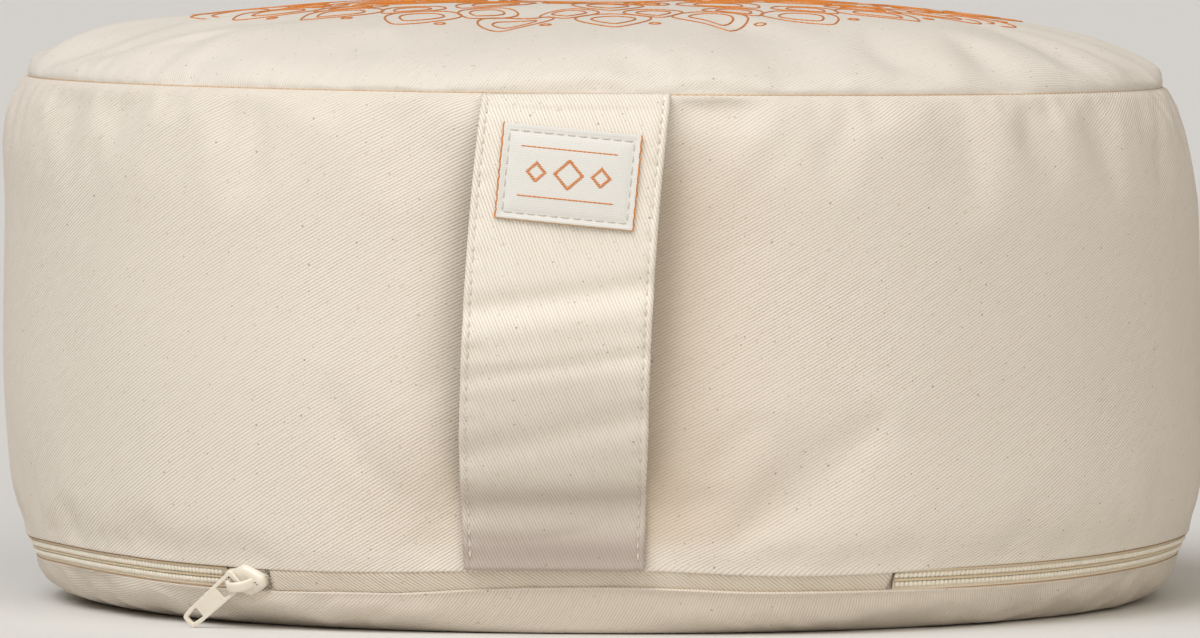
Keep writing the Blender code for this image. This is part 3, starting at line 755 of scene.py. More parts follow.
def undersidePoints(ring, angle):
    radius, height, slope, along, whole = readProfile(undersideProfile(), ring)
    settle = 5.5 * np.sin(np.radians(angle)) + 1.5 * np.cos(np.radians(angle))
    share = smoothstep(166.0, body["flatRadius"], radius) * smoothstep(0.0, 60.0, radius)
    leaned = radius + settle * share + lean(angle, height) * (1.0 - share) * smoothstep(0.0, 60.0, radius)
    flat = roundPoint(angle, leaned, height - seamSag(angle) * smoothstep(2.0, 12.4, height))
    pressed = foldDepth(body["undersideFolds"], flat[:, 0], flat[:, 1]) * smoothstep(0.5, 4.0, height)
    points = roundPoint(angle, leaned + pressed * slope[0], flat[:, 2] + pressed * slope[1])
    return points, along, whole


def coverBase():
    count = cover["gridCount"]
    ring, angle = discGrid(count)
    rim = np.flatnonzero(ring > 1.0 - 1e-6)
    rim = rim[np.argsort(angle[rim])]
    inner = np.flatnonzero(ring <= 1.0 - 1e-6)
    columns, turns = len(rim), angle[rim]

    # rings between the two discs, and how far along the section each lies
    under, underAlong, underWhole = undersidePoints(ring, angle)
    rows = [under[rim]]
    over = readTable(cover["hemReach"], turns)
    for side, out, share in cover["channel"]:
        reach = over * share
        lifted = out + cover["hemLift"][int(side > 0)] * reach
        rows.append(bandPoint(turns, side - np.sign(side) * reach, lifted)[0])
    wallStart = len(rows)
    for _, height in spline(body["wall"], cover["wallRows"]):
        lifted = wallHeight(turns, height)
        rows.append(roundPoint(turns, wallRadius(turns, lifted), lifted))
    seamRadius, seamHeight = body["seam"]
    lift = seamLift(turns)
    rows.append(roundPoint(turns, seamRadius + 1.5 + lean(turns, seamHeight), seamHeight - 0.5 + lift))
    rows.append(roundPoint(turns, seamRadius + lean(turns, seamHeight), seamHeight + lift))
    seamRow = len(rows) - 1
    places = lengthsAlong(np.stack([row[0] for row in rows]))
    crown, crownAlong, crownWhole = crownPoints(ring, angle)

    # vertices: the rings, then each disc's inner points
    points = np.vstack([*rows, under[inner], crown[inner]])
    ringIndex = np.arange(len(rows) * columns).reshape(len(rows), columns)
    underIndex, crownIndex = np.empty(len(ring), int), np.empty(len(ring), int)
    underIndex[rim] = ringIndex[0]
    underIndex[inner] = ringIndex.size + np.arange(len(inner))
    crownIndex[rim] = ringIndex[-1]
    crownIndex[inner] = ringIndex.size + len(inner) + np.arange(len(inner))

    fromSeam = np.full(len(points), -200.0)
    fromSeam[ringIndex] = (places - places[seamRow])[:, None]
    fromSeam[crownIndex[inner]] = crownWhole - crownAlong[inner]
    fromBand = np.full(len(points), 200.0)
    fromBand[ringIndex] = np.maximum(places - places[wallStart - 1], 0.0)[:, None]
    fromBand[ringIndex[0]] = -0.5
    fromBand[underIndex[inner]] = underAlong[inner] - underWhole

    faces, uvs, panels = ringFaces(len(rows), columns), [], []
    arcs = body["wallRadius"] * np.radians(np.r_[turns, turns[0] + 360.0])
    hemRows = 4  # the channel's lower hem is cut from the underside's cloth
    spokes = outwardAround(turns)[0][:, :2]
    for row, (low, high) in enumerate(zip(places, places[1:])):
        panels += [2 if row < hemRows else 0] * columns
        near, far = underWhole + low, underWhole + high
        for place in range(columns):
            here, beyond = spokes[place], spokes[(place + 1) % columns]
            left, right = arcs[place], arcs[place + 1]
            if row < hemRows:
                uvs.append([here * near, beyond * near, beyond * far, here * far])
            else:
                uvs.append([(left, low), (right, low), (right, high), (left, high)])
    grid = np.arange(len(ring)).reshape(count + 1, count + 1)
    quads = np.stack([grid[:-1, :-1], grid[1:, :-1], grid[1:, 1:], grid[:-1, 1:]], axis=-1).reshape(-1, 4)
    for panel, index, along in ((1, crownIndex, crownAlong), (2, underIndex, underAlong)):
        faces += index[quads].tolist()
        uvs += list(roundPoint(angle, along, 0.0)[:, :2][quads])
        panels += [panel] * len(quads)
    held = points[:, 2] < 0.6
    held[ringIndex[:wallStart + 1]] = True
    held[ringIndex[seamRow - 1:]] = True
    return points, faces, uvs, panels, fromSeam, fromBand, held, ringIndex[seamRow]


def smoothField(field, edges, rounds):
    # the slow part of a field over the mesh, by averaging each vertex with its neighbours
    near, far = np.concatenate([edges, edges[:, ::-1]]).T
    count = np.bincount(near, minlength=len(field))[:, None]
    for _ in range(rounds):
        totals = [np.bincount(near, weights=part[far], minlength=len(field)) for part in field.T]
        field = 0.5 * field + 0.5 * np.stack(totals, axis=1) / count
    return field


def settleCloth(piece, held):
    # the filling presses on cloth that is cut a little too large, so it wrinkles at its seams
    group = piece.vertex_groups.new(name="held")
    group.add(np.flatnonzero(held).tolist(), 1.0, "REPLACE")
    change = piece.modifiers.new("Cloth", "CLOTH")
    for name, value in cover["cloth"].items():
        setattr(change.settings, name, value)
    change.settings.vertex_group_mass = "held"
    change.settings.effector_weights.gravity = 0.0
    change.point_cache.frame_start = 1
    change.point_cache.frame_end = cover["frames"]
    scene = bpy.context.scene
    for number in range(1, cover["frames"] + 1):
        scene.frame_set(number)
    graph = bpy.context.evaluated_depsgraph_get()
    settled = placesOf(piece.evaluated_get(graph).to_mesh())
    piece.evaluated_get(graph).to_mesh_clear()
    piece.modifiers.clear()
    piece.vertex_groups.clear()
    scene.frame_set(1)
    return settled


def asideOfStrap(places):
    return places[:, 0] - strapCentre(np.clip(places[:, 2], strap["footHeight"], strap["topHeight"]))


def besideStrap(places):
    # 0 behind the strap and 1 away from it
    across = np.abs(asideOfStrap(places))
    return 1.0 - smoothstep(36.0, 27.0, across) * (places[:, 1] < 0) * (places[:, 2] < 152.0)


def paintedShadeShare(places):
    # how much painted shade the cloth takes beside the strap: most to the right of it and low down
    low = smoothstep(70.0, 40.0, places[:, 2])
    aside = asideOfStrap(places)
    near = bell(np.maximum(np.abs(aside) - 24.0, 0.0), 30.0)
    near *= smoothstep(150.0, 120.0, places[:, 2]) * smoothstep(22.0, 30.0, places[:, 2])
    return near * np.where(aside > 0, 0.5 + 0.2 * low, 0.1 + 0.2 * low) * (places[:, 1] < 0)


def gathers(angle, count, rng):
    # uneven small folds round a seam, from -1 to 1
    turn = np.radians(angle)
    total = np.zeros(len(turn))
    for waves in rng.uniform(*cover["gatherWaves"], count):
        slow = 0.5 + 0.5 * np.sin(turn * rng.integers(3, 11) + rng.uniform(0, 7))
        total += slow * np.sin(turn * round(waves) + rng.uniform(0, 7))
    return total / math.sqrt(count)


def makeCover(materials):
    points, faces, uvs, panels, fromSeam, fromBand, held, seamRing = coverBase()
    mesh = meshOf("cushion_cover", points, faces, uvs)
    mesh.polygons.foreach_set("material_index", panels)
    setAttribute(mesh, "fromSeam", fromSeam)
    setAttribute(mesh, "fromBand", fromBand)
    piece = newObject("cushion_cover", mesh, materials)
    faceOutwards(mesh)
    start = placesOf(mesh)
    edges = np.empty(len(mesh.edges) * 2, np.int32)
    mesh.edges.foreach_get("vertices", edges)
    edges = edges.reshape(-1, 2)
    moved = settleCloth(piece, held) - start
    print("cloth moved up to", round(float(np.linalg.norm(moved, axis=1).max()), 2), "mm")
    fine = moved - smoothField(moved, edges, cover["steadyRounds"])
    size = np.linalg.norm(fine, axis=1)[:, None]
    fine = fine * np.tanh(size / cover["mostMove"]) * cover["mostMove"] / np.maximum(size, 1e-6)
    fine *= (besideStrap(start) * ~held)[:, None]
    kept = float(np.linalg.norm(fine, axis=1).max())
    print("wrinkles up to", round(float(size.max()), 2), "mm, kept", round(kept, 2), "mm")
    movePlaces(mesh, start + fine)
    onSeam = np.zeros(len(start), bool)
    onSeam[seamRing] = True
    setAttribute(mesh, "crease_edge", onSeam[edges].all(axis=1) * cover["seamCrease"], "EDGE")
    smooth = piece.modifiers.new("Subdivision", "SUBSURF")
    smooth.levels = smooth.render_levels = 1
    mesh = bakeModifiers(piece)

    # gathers that the stitching draws in, and the hems' unevenness, on the fine mesh
    places = placesOf(mesh)
    fromSeam, fromBand = readAttribute(mesh, "fromSeam"), readAttribute(mesh, "fromBand")
    angle = np.degrees(np.arctan2(places[:, 0], -places[:, 1]))
    rng = np.random.default_rng(cover["gatherSeed"])
    offset = np.zeros(len(places))
    for kind, distance in (
        ("wallGathers", -fromSeam),
        ("crownGathers", fromSeam),
        ("hemGathers", np.where(fromBand > 0, fromBand, 400.0)),
        ("hemGathers", np.where(fromBand < 0, -fromBand, 400.0)),
    ):
        reach, size = cover[kind]
        near = np.where(distance > 0.3, np.exp(-np.maximum(distance, 0.0) / reach), 0.0)
        near *= smoothstep(0.3, 2.4, distance)
        offset += size * near * gathers(angle, cover["gatherCount"], rng)
    offset *= besideStrap(places)
    # painted shade on the cloth beside the strap
    setAttribute(mesh, "painted_shade", paintedShadeShare(places))
    # the upper seam's tan thread and painted crease shade, by angle
    setAttribute(mesh, "seamThreadAndShade", readTable(cover["seamThreadAndShadeShare"], angle))
    movePlaces(mesh, places + readVertices(mesh, "normal") * offset[:, None])
    return finishPiece(piece, "cotton_twill", "cushion_body")


def surfaceOf(piece):
    return BVHTree.FromObject(piece, bpy.context.evaluated_depsgraph_get())


def snapTo(surface, points, direction, lift, reach=12.0):
    # each point moved along a direction's line onto the surface, then lifted off it
    points = np.asarray(points)
    placed = []
    for point, line in zip(points * mm, np.broadcast_to(direction, points.shape)):
        point, line = Vector(point), Vector(line).normalized()
        hit, normal, _, _ = surface.ray_cast(point + line * reach * mm, -line, 3 * reach * mm)
        if hit is None:
            hit, normal, _, _ = surface.find_nearest(point)
        placed.append(np.array(hit) / mm + np.array(normal) * lift)
    return np.array(placed)


strap = {
    "topHeight": 151.0,
    "topWidth": 52.6,
    "footHeight": 19.6,
    "footWidth": 50.4,
    # its middle line curves: furthest left, at this height, and how fast it comes back
    "leftmost": -13.0,
    "leftmostHeight": 42.0,
    "curve": 0.00054,
    "thickness": 2.2,
    "clearance": 1.35,
    "steep": 1.4,
    "bow": 280.0,
    "rows": 150,
    # height, distance in front of the axis
    "path": (
        (151, 168.6), (148, 172.6), (143.5, 175.6), (136, 177.6), (122, 179), (108, 179.9),
        (97, 180.6), (88, 180.8), (80, 180.4), (72, 179.4), (64, 177.8), (57, 175.9),
        (51, 173.8), (46, 171.7), (42.5, 169.6), (40, 167.6), (37.5, 166.2), (34.5, 165.6),
        (31, 165.4), (28, 164.9), (25, 164.1), (22, 163), (19.6, 162),
    ),
    # height at the left edge, at the right edge, half width, depth
    "folds": (
        (91.5, 98.5, 3.6, 1.1), (84, 91, 4, -0.7), (72.5, 79, 2.6, 0.8), (51.5, 62, 4.4, 1.2),
        (36, 39.5, 2.8, 0.9), (24, 28, 3, 0.5),
    ),
    # where each end turns into its seam: up from the end, back from it
    "topTuck": ((-0.1, 0.8), (0, 1.8), (0.1, 3)),
    "footTuck": ((-0.6, 0.2), (-0.95, 0.7), (-1.15, 1.6), (-1.2, 2.7)),
    "stitchInset": 2.0,
    "stitchPitch": 3.0,
    "stitchSize": (2.2, 0.5, 0.45, 0.04),
    "stitchLift": 0.12,
    "edgeRadius": 1.15,
    "grooveDepth": 0.34,
    "puff": 0.12,
    # height, how much painted shade darkens it
    "paintedShadeByHeight": (
        (18, 0.75), (22, 0.9), (25, 0.9), (28, 0.68), (32, 0.55), (36, 0.6), (39, 0.56),
        (42, 0.35), (46, 0.22), (54, 0.25), (60, 0.16), (68, 0.22), (73, 0.18), (79, 0.02),
        (84, 0), (160, 0),
    ),
}


def strapDistance(across, height):
    share = (across - strapCentre(height)) / (strap["topWidth"] / 2)
    slack = 0.0
    for left, right, halfWidth, depth in strap["folds"]:
        middle = left + (right - left) * (share + 1.0) / 2
        slack = slack + depth * bell(height - middle, halfWidth)
    bowed = across**2 / (2 * strap["bow"])
    own = readTable(strap["path"], height) - bowed - slack
    angle = np.degrees(np.arcsin(across / body["wallRadius"]))
    radius = wallRadius(angle, np.clip(height, 20.0, 151.0))
    behind = np.sqrt(np.maximum(radius**2 - across**2, 0.0))
    steep = strap["steep"] * smoothstep(142.0, 149.0, height)
    return np.maximum(own, behind + strap["clearance"] + strap["thickness"] + steep)


def strapWidth(height):
    narrow = smoothstep(58.0, strap["footHeight"], height)
    return strap["topWidth"] + narrow * (strap["footWidth"] - strap["topWidth"])


def strapFront(heights, shares):
    # the strap's middle surface at rows of heights and shares from its left edge, -1, to its right, 1
    tall = np.broadcast_to(heights[:, None], (len(heights), len(shares)))
    across = strapCentre(tall) + strapWidth(tall) / 2 * shares[None, :]
    inside = np.clip(tall, strap["footHeight"], strap["topHeight"])
    return np.stack([across, -strapDistance(across, inside), tall], axis=-1)


def tuckedFront(shares):
    heights = spline(strap["path"], strap["rows"])[:, 0]
    front = strapFront(heights, shares)
    above = [front[0] + (0.0, back, up) for up, back in reversed(strap["topTuck"])]
    below = [front[-1] + (0.0, back, up) for up, back in strap["footTuck"]]
    return np.concatenate([above, front, below])


def gridNormals(front):
    normal = np.cross(np.gradient(front, axis=0), np.gradient(front, axis=1))
    normal /= np.linalg.norm(normal, axis=2)[:, :, None]
    return normal * -np.sign(normal[:, :, 1:2])


def closedSheet(name, front, outside, inside, lengths, widths):
    # a sheet with a front and a back layer, given as offsets along the front's normals
    normal = gridNormals(front)
    layers = [front + normal * outside[..., None], (front + normal * inside[..., None])[:, ::-1]]
    return closedBand(name, np.concatenate(layers, axis=1), lengths, thereAndBack(widths, 4.0))


def rolledEdge(inset, radius):
    # 0 at the edge, 1 from the radius inwards, along a quarter circle
    return np.sqrt(np.clip(1.0 - (1.0 - np.clip(inset / radius, 0.0, 1.0)) ** 2, 0.0, 1.0))


def makeStrap(material):
    # columns lie closer together near the edges, where the stitching draws the cloth in
    half = strap["topWidth"] / 2
    edge = [0.0, 0.15, 0.45, 0.85, 1.25, 1.6, 1.88, 2.14, 2.5, 3.0, 3.8, 5.0]
    offsets = np.r_[edge, np.linspace(6.2, half, 17)]
    shares = np.r_[offsets / half - 1.0, 1.0 - offsets[-2::-1] / half]
    front = tuckedFront(shares)
    inset = (1.0 - np.abs(shares)) * half
    lengths = lengthsAlong(front[:, len(shares) // 2])
    # edges roll over, puff outside the stitching and are drawn in along it
    roll = rolledEdge(inset, strap["edgeRadius"])
    puff = strap["puff"] * bell(inset - strap["edgeRadius"], 0.75)
    groove = strap["grooveDepth"] * bell(inset - strap["stitchInset"], 0.5)
    rng = np.random.default_rng(11)
    uneven = np.zeros((len(front), len(shares)))
    for side in (-1, 1):
        ripple = sum(np.sin(lengths * 2 * math.pi / pitch + rng.uniform(0, 7)) for pitch in (5.2, 6.9, 9.7))
        uneven += 0.06 * ripple[:, None] * (bell(inset - 2.6, 2.4) * (np.sign(shares) == side))
    slow = 0.16 * np.sin(lengths / 9.0)[:, None] * np.sin(shares * 4.0 + 1.0)
    thick = strap["thickness"]
    outside = (roll - 1.0) * thick / 2 + puff - groove + uneven + slow * roll
    inside = (-1.0 - roll) * thick / 2 + 0.3 * groove
    mesh = closedSheet("handle_strap_cloth", front, outside, inside, lengths, (shares + 1.0) * half)
    # painted shade darkens it towards its lower end
    setAttribute(mesh, "painted_shade", np.clip(readTable(strap["paintedShadeByHeight"], placesOf(mesh)[:, 2]), 0.0, 1.0))
    piece = newObject("handle_strap_cloth", mesh, [material])
    return finishPiece(piece, "strap_twill", "handle_strap")


def makeStrapStitches(material):
    # two rows along the edges; each stitch lies in its own small hollow
    heights = spline(strap["path"], 420)[:, 0]
    points, along, up = [], [], []
    for side in (-1.0, 1.0):
        share = side * (1.0 - strap["stitchInset"] / (strap["topWidth"] / 2))
        front = strapFront(heights, np.array([share - 0.02, share, share + 0.02]))
        line = front[:, 1]
        lengths = lengthsAlong(line)
        wanted = np.arange(strap["stitchPitch"], lengths[-1] - 1.0, strap["stitchPitch"])
        out = readAlong(lengths, gridNormals(front)[:, 1], wanted)
        points.append(readAlong(lengths, line, wanted) + out * (strap["stitchLift"] - strap["grooveDepth"]))
        up.append(out)
        along.append(readAlong(lengths, np.gradient(line, lengths, axis=0), wanted))
    piece = stitchPiece("strap_stitches", np.vstack(points), np.vstack(along), np.vstack(up),
                        strap["stitchSize"], material, seed=3)
    return finishPiece(piece, "strap_twill")


label = {
    "width": 38.3,
    "height": 26.4,
    "centre": (-8.7, 128.5),
    "turn": -5.6,
    "thickness": 0.75,
    "gap": 0.2,
    "stitchInset": 1.9,
    "stitchPitch": 3.2,
    "stitchSize": (2.5, 0.5, 0.4, 0.05),
    "edgePlaces": (0.0, 0.12, 0.4, 0.8, 1.3, 1.9, 2.5, 3.2),
    # ornament: middle and half width of each diamond, its rim, and how high each rule lies
    "diamonds": ((-9.0, 3.0), (0.0, 4.4), (9.0, 3.0)),
    "diamondRim": 1.1,
    "rules": (-6.4, 7.2),
}


def labelFront(side, up):
    turn = math.radians(label["turn"])
    across = label["centre"][0] + side * math.cos(turn) - up * math.sin(turn)
    tall = label["centre"][1] + side * math.sin(turn) + up * math.cos(turn)
    return np.stack([across, -strapDistance(across, tall) - label["gap"] - label["thickness"], tall], axis=-1)


def labelInset(side, up):
    return np.minimum(label["width"] / 2 - np.abs(side), label["height"] / 2 - np.abs(up))


def labelLift(side, up):
    # the label is drawn down along its stitches and stands a little proud elsewhere
    inset = labelInset(side, up)
    drawn = 0.3 * bell(inset - label["stitchInset"], 0.7)
    swell = 0.28 * smoothstep(2.0, 8.0, inset)
    ripple = 0.08 * np.sin((side + 0.6 * up) * 2 * math.pi / 6.1) * bell(inset, 3.0)
    return swell - drawn + ripple + 0.15 * bell(inset, 0.8)


def labelPlaces(size, count):
    # places across the label, closer together near its edges
    offsets = np.r_[label["edgePlaces"], np.linspace(4.2, size / 2, count)]
    return np.r_[offsets - size / 2, size / 2 - offsets[-2::-1]]


def makeLabel(material):
    sides, ups = labelPlaces(label["width"], 16), labelPlaces(label["height"], 10)
    side, up = np.meshgrid(sides, ups[::-1])
    lift = labelLift(side, up)
    roll = rolledEdge(labelInset(side, up), 0.4)
    thick = label["thickness"]
    outside = lift + (roll - 1.0) * thick / 2
    inside = np.minimum(lift, 0.1) - (1.0 + roll) * thick / 2
    mesh = closedSheet("handle_label_cloth", labelFront(side, up), outside, inside,
                       label["height"] / 2 - ups[::-1], sides + label["width"] / 2)
    piece = newObject("handle_label_cloth", mesh, [material])
    return finishPiece(piece, "woven_label", "handle_label")


def onLabel(side, up, lift):
    side, up = np.asarray(side, float), np.asarray(up, float)
    place = labelFront(side, up)
    place[..., 1] -= labelLift(side, up) + lift
    return place


def rectangleLine(halfWidth, halfHeight, pitch):
    corners = np.array([(-1, -1), (1, -1), (1, 1), (-1, 1), (-1, -1)]) * (halfWidth, halfHeight)
    lengths = lengthsAlong(corners)
    count = round(lengths[-1] / pitch)
    return readAlong(lengths, corners, (np.arange(count) + 0.5) * lengths[-1] / count)


def makeLabelStitches(material):
    half = [label[size] / 2 - label["stitchInset"] for size in ("width", "height")]
    line = rectangleLine(*half, label["stitchPitch"])
    step = np.where(np.abs(np.abs(line[:, 1:]) - half[1]) < 1e-6, (1.0, 0.0), (0.0, 1.0))
    place = onLabel(line[:, 0], line[:, 1], 0.1)
    ahead = onLabel(line[:, 0] + 0.5 * step[:, 0], line[:, 1] + 0.5 * step[:, 1], 0.1)
    piece = stitchPiece("label_stitches", place, ahead - place, (0.0, -1.0, 0.0),
                        label["stitchSize"], material, seed=5)
    return finishPiece(piece, "woven_label")


def makeLabelEdges(sideMaterial, footMaterial):
    # the woven selvedge shows as an uneven coloured thread at either side, a darker one below
    rng = np.random.default_rng(21)
    lines = []
    for side in (-1.0, 1.0):
        up = np.linspace(-label["height"] / 2, label["height"] / 2, 60)
        wobble = 0.12 * np.sin(up * 2.1 + side) + rng.uniform(-0.1, 0.1, len(up))
        lines.append((onLabel(side * (label["width"] / 2 - 0.05) + wobble, up, -0.15), False))
    piece = threadPiece("label_selvedge", lines, 0.5, 0.45, 0.5, sideMaterial)
    finishPiece(piece, "woven_label")
    across = np.linspace(-label["width"] / 2, label["width"] / 2, 80)
    wobble = 0.08 * np.sin(across * 1.7) + rng.uniform(-0.05, 0.05, len(across))
    line = onLabel(across, -label["height"] / 2 + 0.02 + wobble, -0.1)
    piece = threadPiece("label_foot_thread", [(line, False)], 0.36, 0.32, 0.6, footMaterial)
    return finishPiece(piece, "woven_label")


def makeLabelOrnament(material):
    # a plain woven ornament: three diamonds between two rules, worked in threads
    spots = []
    for centre, half in label["diamonds"]:
        hollow = half - label["diamondRim"]
        for up in np.arange(-half, half + 0.01, 0.42):
            reach = half * (1.0 - abs(up) / half)
            inner = max(hollow * (1.0 - abs(up) / hollow), 0.0)
            if reach - inner > 0.12:
                aside = (reach + inner) / 2
                spots += [(centre + sign * aside, up + 0.4, reach - inner) for sign in (-1.0, 1.0)]
    for up in label["rules"]:
        spots += [(across, up, 1.5) for across in np.arange(-13.0, 13.01, 1.4)]
    spots = np.array(spots)
    place = onLabel(spots[:, 0], spots[:, 1], 0.02)
    ahead = onLabel(spots[:, 0] + 0.5, spots[:, 1], 0.02)
    # threads of like length are laid together
    pieces = []
    edges = np.linspace(0.0, spots[:, 2].max() + 0.01, 5)
    for low, high in zip(edges, edges[1:]):
        chosen = (spots[:, 2] > low) & (spots[:, 2] <= high)
        if chosen.any():
            length = float(spots[chosen, 2].mean()) * 1.15 + 0.2
            pieces.append(stitchPiece("label_ornament_part", place[chosen], (ahead - place)[chosen],
                                      (0.0, -1.0, 0.0), (length, 0.42, 0.24, 0.02), material, seed=9))
    return finishPiece(joinPieces("label_ornament", pieces, material), "woven_label")


def joinPieces(name, pieces, material):
    # several plain meshes of one material become one
    whole = bmesh.new()
    for piece in pieces:
        whole.from_mesh(piece.data)
    mesh = bpy.data.meshes.new(name)
    whole.to_mesh(mesh)
    whole.free()
    mesh.polygons.foreach_set("material_index", [0] * len(mesh.polygons))
    for piece in pieces:
        old = piece.data
        bpy.data.objects.remove(piece)
        bpy.data.meshes.remove(old)
    return newObject(name, mesh, [material])


guard = {
    "from": -33.2,
    "to": 28.3,
    "slant": 0.22,
    # middle line of the folded strip across the channel: place up, place out
    "section": ((-2.7, 0.75), (0, 0.7), (2.6, 0.75), (3.15, 1.2), (3.1, 1.95), (2.4, 2.3), (0, 2.35),
                (-2.6, 2.25), (-3.2, 1.75)),
    "thickness": 0.62,
    "step": 1.2,
}


def makeGuard(material):
    # a folded strip of the same cloth, its fold along the upper seam
    line = spline(guard["section"], 22)
    tangent = np.gradient(line, axis=0)
    tangent /= np.linalg.norm(tangent, axis=1)[:, None]
    across = np.stack([tangent[:, 1], -tangent[:, 0]], axis=1) * guard["thickness"] / 2
    side, out = np.vstack([line + across, (line - across)[::-1]]).T
    lengths = lengthsAlong(line)
    whole = body["bandLow"][0] * math.radians(guard["to"] - guard["from"])
    steps = np.linspace(0.0, 1.0, round(whole / guard["step"]) + 1)
    share = steps[:, None]
    slant = guard["slant"] * smoothstep(0.97, 1.0, share)
    wave = 0.12 * np.sin(share * 41.0) + 0.09 * np.sin(share * 97.0 + 1.0)
    turned = guard["from"] + share * (guard["to"] - guard["from"]) + slant * side / 3.0
    rings = bandPoint(turned, side, out + wave * smoothstep(0.5, 2.0, out))[0]
    mesh = closedBand("zip_guard_cloth", rings, whole * steps, thereAndBack(lengths, 1.0), lengthwise=True)
    piece = newObject("zip_guard_cloth", mesh, [material])
    return finishPiece(piece, "cotton_twill", "zip_guard")


zipper = {
    "from": 28.9,
    "to": 321.5,
    "pitch": 1.45,
    "rowSide": 1.4,
    "rowOut": 2.1,
    "slant": 0.3,
    # length across the row, width, height, variation of each coil turn
    "turnSize": (2, 1.85, 1.15, 0.02),
    # tape: place across the channel, place out; it runs up at the hems
    "tape": ((-3.25, 2.2), (-2.9, 2), (-2.3, 1.75), (-0.7, 1.6), (0, 1.65), (0.7, 1.6), (2.3, 1.75),
             (2.9, 2), (3.25, 2.2)),
    "tapeThickness": 0.35,
    # place across, place out; then width and height of the cord
    "grooveCordPlace": (0, 2.1),
    "grooveCordSize": (0.5, 0.95),
    "edgePlaces": ((3.2, 2.45), (-3.25, 2.35)),
}


def makeZip(nylon, tapeMaterial, grooveShadeMaterial, edgeThreadAndShadowMaterial):
    turned = zipper["to"] - zipper["from"]
    whole = body["bandLow"][0] * math.radians(turned)
    count = int(whole / zipper["pitch"])
    points, along, up = [], [], []
    for side, shift in ((1.0, 0.0), (-1.0, 0.5)):
        angle = zipper["from"] + (np.arange(count) + shift + 0.3) / (count + 1) * turned
        place, (around, rise, normal) = bandPoint(angle, side * zipper["rowSide"], zipper["rowOut"])
        points.append(place)
        along.append(rise + around * zipper["slant"] * side)
        up.append(normal)
    piece = stitchPiece("zip_coil", np.vstack(points), np.vstack(along), np.vstack(up),
                        zipper["turnSize"], nylon, seed=2)
    finishPiece(piece, "coil_zip", "zip_chain")

    # the woven tape under the coil, closed round its edges
    line = spline(zipper["tape"], 15)
    half = (0.0, zipper["tapeThickness"] / 2)
    side, out = np.vstack([line + half, (line - half)[::-1]]).T
    steps = np.linspace(0.0, 1.0, 320)
    rings = bandPoint(zipper["from"] + steps[:, None] * turned, side, out)[0]
    around = thereAndBack(lengthsAlong(line), 1.0)
    mesh = closedBand("zip_tape", rings, whole * steps, around, lengthwise=True)
    finishPiece(newObject("zip_tape", mesh, [tapeMaterial]), "coil_zip")

    # a tan cord along the groove where the coil rows meet: its tan is painted shade in the groove
    angle = np.linspace(zipper["from"], zipper["to"], 500)
    grooveLine = bandPoint(angle, *zipper["grooveCordPlace"])[0]
    piece = threadPiece("zip_groove_shade_cord", [(grooveLine, False)], *zipper["grooveCordSize"], 2.0, grooveShadeMaterial)
    finishPiece(piece, "coil_zip")
    # brown lines along both channel edges: the stitching there, and painted shadow where the hems meet the
    # tape
    lines = [(bandPoint(angle, side, out)[0], False) for side, out in zipper["edgePlaces"]]
    piece = threadPiece("zip_edge_thread_and_shadow_lines", lines, 0.35, 0.35, 1.2, edgeThreadAndShadowMaterial)
    finishPiece(piece, "coil_zip")


slider = {
    "angle": -36.0,
    # lengths along the zip and half widths, from tail to nose
    "outline": (
        (-6.5, 1.2), (-6.3, 2.7), (-3.6, 3.3), (-1.4, 4.1), (0.3, 4.6), (1.4, 4.4), (3.8, 3.3), (6, 1.9),
        (6.7, 0.8),
    ),
    # inset and height of each level of the body, from the tape up
    "levels": (
        (0.7, 0.35), (0.15, 0.6), (0, 1.4), (0, 3.3), (0.22, 4), (0.7, 4.5), (1.5, 4.75), (2.4, 4.85),
    ),
    # length along the zip and height of the bar's middle line
    "bridge": (
        (-4, 4), (-4.1, 5.6), (-3.8, 7.1), (-2.7, 7.9), (-0.9, 7.9), (0.9, 7.3), (2, 6.2), (2.8, 5),
        (3.1, 3.9),
    ),
    "bridgeSize": (3, 1.3),
    "bridgeRows": 26,
    "bridgeSquareness": 0.55,
}

pull = {
    "length": 22.5,
    "width": 6.2,
    "tipWidth": 4.2,
    "thickness": 1.1,
    # holes: where each starts and ends, half width at either; the second is measured from the tip
    "headHole": (0.6, 7.0, 1.95, 1.85),
    "tipHole": (-5.6, -1.2, 1.6, 1.15),
    "head": (-1.6, 1.5, 5.75),
    "tipAngle": -41.7,
    "tipRadius": 171.4,
    "tipHeight": 3.1,
    "bar": 0.6,
    "taper": 2.6,
    "bevel": 0.22,
}


def sliderFrame():
    return bandPoint(slider["angle"], 0.0, 0.0)


def inSliderFrame(points):
    origin, axes = sliderFrame()
    points = np.asarray(points, float)
    return origin + sum(points[..., place:place + 1] * axes[place] for place in range(3))


def cappedFaces(count, size, start=0):
    last = (count - 1) * size
    faces = ringFaces(count, size) + [tuple(range(size)), tuple(range(last, last + size))]
    return [tuple(corner + start for corner in face) for face in faces]


